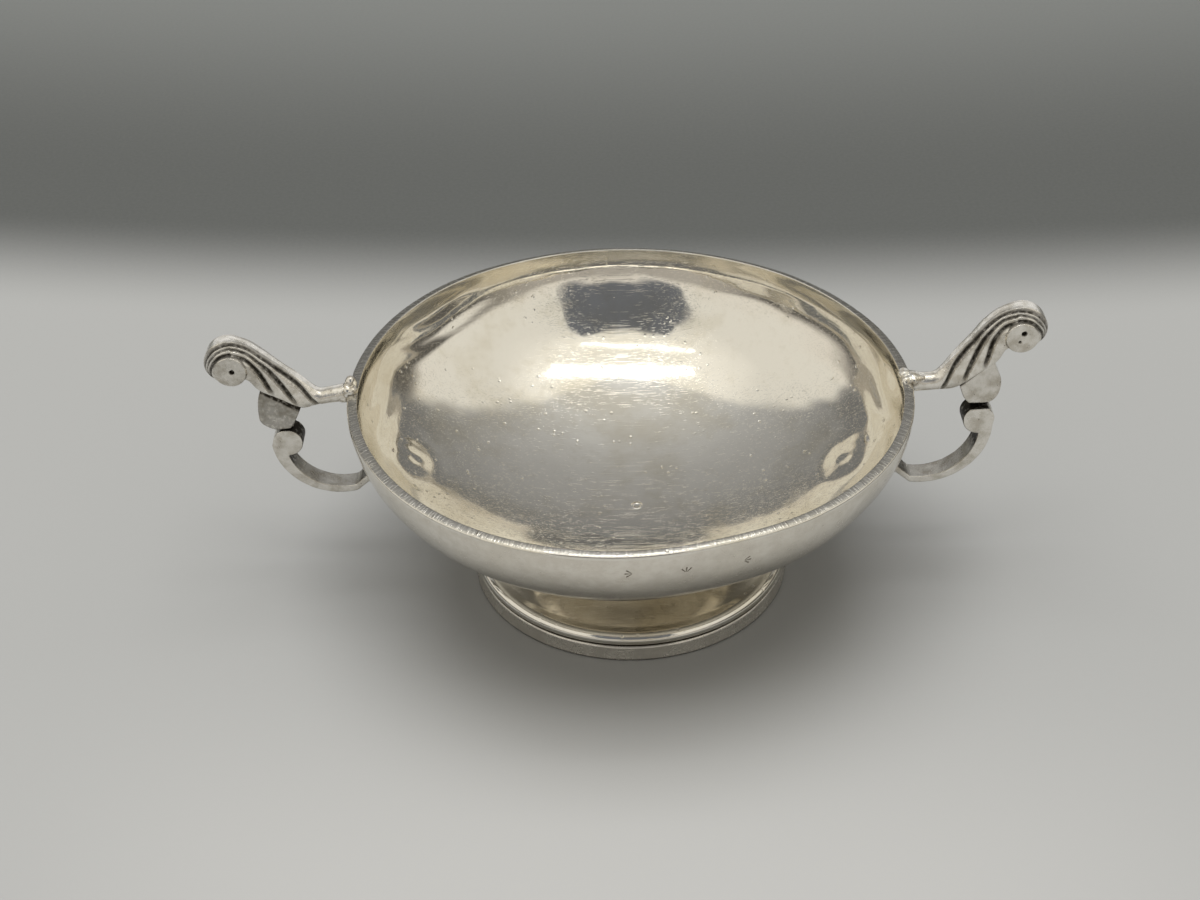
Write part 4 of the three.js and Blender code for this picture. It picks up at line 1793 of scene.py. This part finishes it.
    def wall_seat(self) -> Vector:
        """The spot on the bowl's wall where the tail is soldered, in the scroll's measures.

        Returns:
            The spot as (out, up).
        """
        height = self.bowl.height - self.wall_seat_drop
        spot = self.place(self.shape.scroll_angle).inverted()
        about = Matrix.Rotation(math.radians(self.shape.side.value), 4, "Z")
        local = spot @ about @ Vector((self.bowl.out_at(height), 0, height))
        return Vector((local.x, local.z))

    def scroll_outline(self) -> list[Vector]:
        """Outline of the strap and its volute.

        Returns:
            Points round it.
        """
        outer = Vector(self.shape.scroll_centre)
        radius = self.shape.scroll_radius
        inner_radius = radius - (self.strap_top + self.strap_tip) / 2 - self.arc_reduction
        inner = Vector((
            outer.x + radius - self.strap_top - inner_radius,
            outer.y - radius + self.strap_tip + inner_radius,
        ))
        tail_turn = self.tail_angle - 360.0
        start = polar(outer, radius, tail_turn)
        seat = self.wall_seat()
        along = (seat - start).normalized()
        across = Vector((along.y, -along.x)) * self.strap_tip / 2
        end = seat + along * 0.2
        volute = Vector(self.shape.volute)
        size = self.shape.volute_radius
        flat_turn = math.degrees(math.asin((self.lug_foot_up - 0.1 - volute.y) / size))
        notch_turn = math.degrees(math.asin((volute.y - size * 0.8 - inner.y) / inner_radius))
        steps = 20
        points = [polar(volute, size, flat_turn * (1 - i / steps)) for i in range(steps)]
        strap_steps = 64
        points += [polar(outer, radius, tail_turn * i / strap_steps) for i in range(1, strap_steps + 1)]
        points += [end - across, end + across]
        points += [
            polar(inner, inner_radius, tail_turn + (notch_turn - tail_turn) * i / strap_steps)
            for i in range(strap_steps + 1)
        ]
        last = 180.0 - flat_turn
        points += [polar(volute, size, 280 - (280 - last) * i / steps) for i in range(steps + 1)]
        return points

    def scroll(self) -> None:
        """Make the C-scroll: cut its outline from a strap, soften it, and leave hammer ribs inside it."""
        bm = bmesh.new()
        slab(bm, self.scroll_outline(), self.strap_width, 0.28)
        bm = fused(bm, self.voxel, 2)
        centre = Vector(self.shape.scroll_centre)
        volute = Vector(self.shape.volute)
        size = self.shape.volute_radius
        face = self.strap_width / 2

        def inside(spot: Vector) -> float:
            """How much a spot lies on the inner face of the strap or on the shaded side of the volute.

            Args:
                spot: The spot on the scroll.

            Returns:
                1 on those faces and 0 elsewhere.
            """
            flat = Vector((spot.x, spot.z))
            thick = self.strap_tip + (self.strap_top - self.strap_tip) * smoothstep(-16.0, 16.0, spot.x)
            deep = self.shape.scroll_radius - (flat - centre).length
            on_strap = smoothstep(thick * 0.65, thick * 0.95, deep)
            beside = smoothstep(0.0, -0.6, flat.x - volute.x)
            beside *= smoothstep(size + 1.0, size, (flat - volute).length)
            return max(on_strap, beside) * smoothstep(face - 0.02, face - 0.22, abs(spot.y))

        def patina_and_shade(spot: Vector) -> float:
            """Painted shade with patina on the inner face, heavier near the volute, and painted shade on the
            flat under the lug.

            Args:
                spot: The spot on the scroll.

            Returns:
                The share of patina and painted shade there.
            """
            toward_tail = smoothstep(14.0, 3.0, spot.x)
            # Painted shade on the volute's top flat, under the lug.
            top_flat = smoothstep(self.lug_foot_up - 0.45, self.lug_foot_up - 0.2, spot.z)
            top_flat *= smoothstep(face - 0.02, face - 0.22, abs(spot.y))
            return max(inside(spot) * (1.15 - 0.45 * toward_tail), top_flat * 0.9, self.shape.soil * 0.55)

        noted_patina_and_shade(bm, patina_and_shade)
        for v in bm.verts:
            spot = Vector((v.co.x, v.co.z)) - centre
            turn = math.degrees(math.atan2(spot.y, spot.x))
            lower = smoothstep(-20.0, -35.0, turn)
            rib = noise.noise(Vector((turn / 2.4, v.co.y * 0.4, 3.1))) * 0.13 * inside(v.co) * lower
            v.co += v.normal * (rib + noise.noise(v.co / 2.8) * 0.03)
        self.placed("c_scroll", bm, "scroll", self.shape.scroll_angle, CastSilver())

    def rim_solder(self) -> None:
        """Make the lumps of solder that hook the arm's end over the lip."""
        bm = bmesh.new()
        for lump in self.shape.rim_lumps:
            ball(bm, Vector(lump.middle), Vector(lump.half))
        bm = fused(bm, self.rim_voxel, self.solder_smoothing)
        for v in bm.verts:
            rough = smoothstep(0.6, 1.6, v.co.x)
            v.co += v.normal * (noise.noise(v.co / 1.3) * 0.14 + noise.noise(v.co / 0.5) * 0.05 * rough)
        self.placed("rim_lumps", bm, "rim_solder", self.shape.arm_angle, SolderSilver())

    def wall_solder(self) -> None:
        """Make the pad of solder between the scroll's end and the wall."""
        bm = bmesh.new()
        seat = self.wall_seat()
        for lump in self.wall_lumps:
            x, y, z = lump.middle
            ball(bm, Vector((seat.x + x, y, seat.y + z)), Vector(lump.half))
        bm = fused(bm, self.wall_voxel, self.solder_smoothing)
        for v in bm.verts:
            v.co += v.normal * noise.noise(v.co / 1.3) * 0.12
        self.placed("wall_pad", bm, "wall_solder", self.shape.scroll_angle, SolderSilver())

    def build(self) -> None:
        """Make the handle's five pieces."""
        self.arm()
        self.lug()
        self.scroll()
        self.rim_solder()
        self.wall_solder()


# The studio


@dataclass(frozen=True)
class Lamp:
    """A soft flat lamp that faces down, or is tilted up from there by some degrees.

    Its size and place are in metres. Where it has a reach, it lights only the pieces whose names end so.
    """

    name: str
    length: float
    width: float
    place: tuple[float, float, float]
    radiance: float
    mirrored: bool = True
    tilt: float = 0.0
    reach: tuple[str, ...] = ()


@dataclass
class Studio:
    """A pale floor, a soft sky with bright sides, the lamps, and the camera."""

    floor_size: float = 6.0
    floor_color: Color = (0.375, 0.378, 0.374)
    # Painted light and shade on the floor: brighter in front, dark some way behind, lighter again farther
    # back.
    lit_near_color: Color = (0.445, 0.445, 0.44)
    shaded_far_color: Color = (0.09, 0.094, 0.091)
    shaded_farther_color: Color = (0.185, 0.193, 0.188)
    grain_color: Color = (0.5, 0.5, 0.48)
    low_tint: Color = (1.0, 0.935, 0.835)
    high_tint: Color = (1.0, 0.965, 0.875)
    back_tint: Color = (1.0, 0.995, 0.975)
    opening_color: Color = (0.15, 0.158, 0.175)
    seen_sky: Color = (0.45, 0.445, 0.43)
    lamps: tuple[Lamp, ...] = (
        Lamp("overhead_strip", 0.60, 0.072, (0.03, 0.05, 1.0), 4.0),
        Lamp("front_strip", 0.60, 0.035, (-0.05, -0.20, 1.0), 2.0),
        Lamp("ceiling_glow", 1.2, 1.2, (-0.1, 0.05, 1.4), 3.35, mirrored=False),
        Lamp("arm_glow", 0.9, 0.36, (0.0, 0.42, 0.22), 0.5, tilt=-90.0, reach=("_fluted_arm", "_rim_lumps")),
    )
    focal_pixels: float = 1802.0
    photo_width: float = 1200.0
    sensor: float = 36.0
    distance: float = 0.37937
    elevation: float = 35.24
    roll: float = -1.3
    target: Vector = field(default_factory=lambda: Vector((-0.00623, 0.0, 0.02911)))

    def floor(self) -> None:
        """Lay the floor, painted brighter just in front of the cup and darkened by painted shade to mid-grey
        some way behind it.
        """
        bm = bmesh.new()
        bmesh.ops.create_grid(bm, x_segments=8, y_segments=8, size=self.floor_size / 2)
        mesh = bpy.data.meshes.new("studio_floor")
        bm.to_mesh(mesh)
        bm.free()
        floor = bpy.data.objects.new("studio_floor", mesh)
        bpy.context.scene.collection.objects.link(floor)
        g = Graph("studio_paper")
        place = g.node("TexCoord").outputs["Object"]
        x, y, _ = g.parts(place)
        aside = g.math("MULTIPLY", x, x)
        back = g.summed(y, ((x, 0.05), (aside, -0.35)))
        # Painted light: the floor in front of the cup, near the middle, is brighter.
        near = g.math("MULTIPLY", g.step(back, -0.02, -0.10), g.step(aside, 0.016, 0.0005, 0.3, 1.0))
        color = g.blend(near, self.floor_color, self.lit_near_color)
        # Painted shade: some way behind the cup the floor turns dark, and lighter again farther back.
        color = g.blend(g.step(back, 0.096, 0.152), color, self.shaded_far_color)
        color = g.blend(g.step(back, 0.175, 0.36), color, self.shaded_farther_color)
        grain = g.noise(place, 900.0, 2.0)
        color = g.blend(g.math("MULTIPLY", grain, 0.06), color, self.grain_color)
        g.feed(g.shader.inputs["Base Color"], color)
        g.shader.inputs["Roughness"].default_value = 0.75
        g.shader.inputs["Specular IOR Level"].default_value = 0.2
        mesh.materials.append(g.material)

    def hang(self, lamp: Lamp) -> None:
        """Hang a lamp. The camera doesn't see one that has a reach.

        Args:
            lamp: Its size, place, radiance and reach.
        """
        light = bpy.data.lights.new(lamp.name, "AREA")
        light.shape = "RECTANGLE"
        light.size, light.size_y = lamp.length, lamp.width
        light.energy = lamp.radiance * math.pi * lamp.length * lamp.width
        hung = bpy.data.objects.new(lamp.name, light)
        hung.location = lamp.place
        hung.rotation_euler = (math.radians(lamp.tilt), 0, 0)
        hung.visible_glossy = lamp.mirrored
        bpy.context.scene.collection.objects.link(hung)
        if lamp.reach:
            hung.visible_camera = False
            reached = bpy.data.collections.new(lamp.name + "_reach")
            for piece in bpy.data.objects:
                if piece.name.endswith(lamp.reach):
                    reached.objects.link(piece)
            hung.light_linking.receiver_collection = reached

    def sky(self) -> None:
        """Light the cup from a soft sky: warm bright sides, a bright top, and dim low front and back."""
        world = bpy.data.worlds.new("soft_sky")
        bpy.context.scene.world = world
        world.use_nodes = True
        g = Graph.__new__(Graph)
        g.tree = world.node_tree
        background = g.tree.nodes["Background"]
        direction = g.node("TexCoord").outputs["Generated"]
        x, y, z = g.parts(direction)
        up = g.math("MAXIMUM", z, 0.0)
        level = g.vector("LENGTH", g.vector("MULTIPLY", direction, Vector((1, 1, 0))))
        frontal = g.math("DIVIDE", g.math("MULTIPLY", y, -1.0), level)
        top = g.math("MULTIPLY", g.math("POWER", up, 6.0), 0.5)
        back = g.math("ADD", top, g.step(up, 0.30, 0.65, 0.17, 0.28))
        back = g.blend(back, (0.0, 0.0, 0.0), self.back_tint)
        rise = g.math("SUBTRACT", up, g.step(x, 0.3, 0.9, 0.0, 0.10))
        low_front = g.step(frontal, 0.3, 0.85, 0.0, 0.42)
        side_level = g.math("MAXIMUM", g.step(rise, 0.12, 0.32, 0.10, 0.78), low_front)
        side_level = g.math("ADD", side_level, g.step(up, 0.80, 1.0, 0.0, 0.30))
        tint = g.blend(g.step(up, 0.15, 0.55), self.low_tint, self.high_tint)
        sides = g.blend(side_level, (0.0, 0.0, 0.0), tint)
        edge = g.summed(frontal, ((g.step(up, 0.3, 1.0), 0.12),))
        color = g.blend(g.step(edge, -0.58, -0.44), back, sides)
        opening = g.step(g.summed(frontal, ((up, 0.176),)), 0.96, 0.982)
        opening = g.math("MULTIPLY", opening, g.step(up, 0.912, 0.885))
        opening = g.math("MULTIPLY", opening, g.step(up, 0.28, 0.38))
        color = g.blend(opening, color, self.opening_color)
        camera_ray = g.node("LightPath").outputs["Is Camera Ray"]
        g.feed(background.inputs["Color"], g.blend(camera_ray, color, self.seen_sky))
        background.inputs["Strength"].default_value = 1.0

    def camera(self) -> None:
        """Set the camera where the photograph was taken from."""
        lens = bpy.data.cameras.new("photo_camera")
        lens.sensor_width = self.sensor
        lens.lens = self.sensor * self.focal_pixels / self.photo_width
        held = bpy.data.objects.new("photo_camera", lens)
        tilt = math.radians(self.elevation)
        back = Vector((0, -math.cos(tilt), math.sin(tilt)))
        lean = math.radians(self.roll)
        right = Vector((1, 0, 0))
        upward = Vector((0, math.sin(tilt), math.cos(tilt)))
        across = right * math.cos(lean) + upward * math.sin(lean)
        above = upward * math.cos(lean) - right * math.sin(lean)
        turn = Matrix((across, above, back)).transposed().to_4x4()
        held.matrix_world = Matrix.Translation(self.target + back * self.distance) @ turn
        bpy.context.scene.collection.objects.link(held)
        bpy.context.scene.camera = held

    def build(self) -> None:
        """Make the stage, the lights and the camera."""
        self.floor()
        for lamp in self.lamps:
            self.hang(lamp)
        self.sky()
        self.camera()
        bpy.context.scene.view_settings.view_transform = "Standard"


def main() -> None:
    """Build the cup's pieces and the studio."""
    logging.basicConfig(level=logging.INFO, format="%(name)s: %(message)s")
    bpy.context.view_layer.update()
    bowl = Bowl()
    bowl.build()
    Foot(bowl).build()
    for shape in (RIGHT_HANDLE, LEFT_HANDLE):
        Handle(bowl, shape).build()
    Studio().build()
    bpy.context.view_layer.update()


if __name__ == "__main__":
    main()
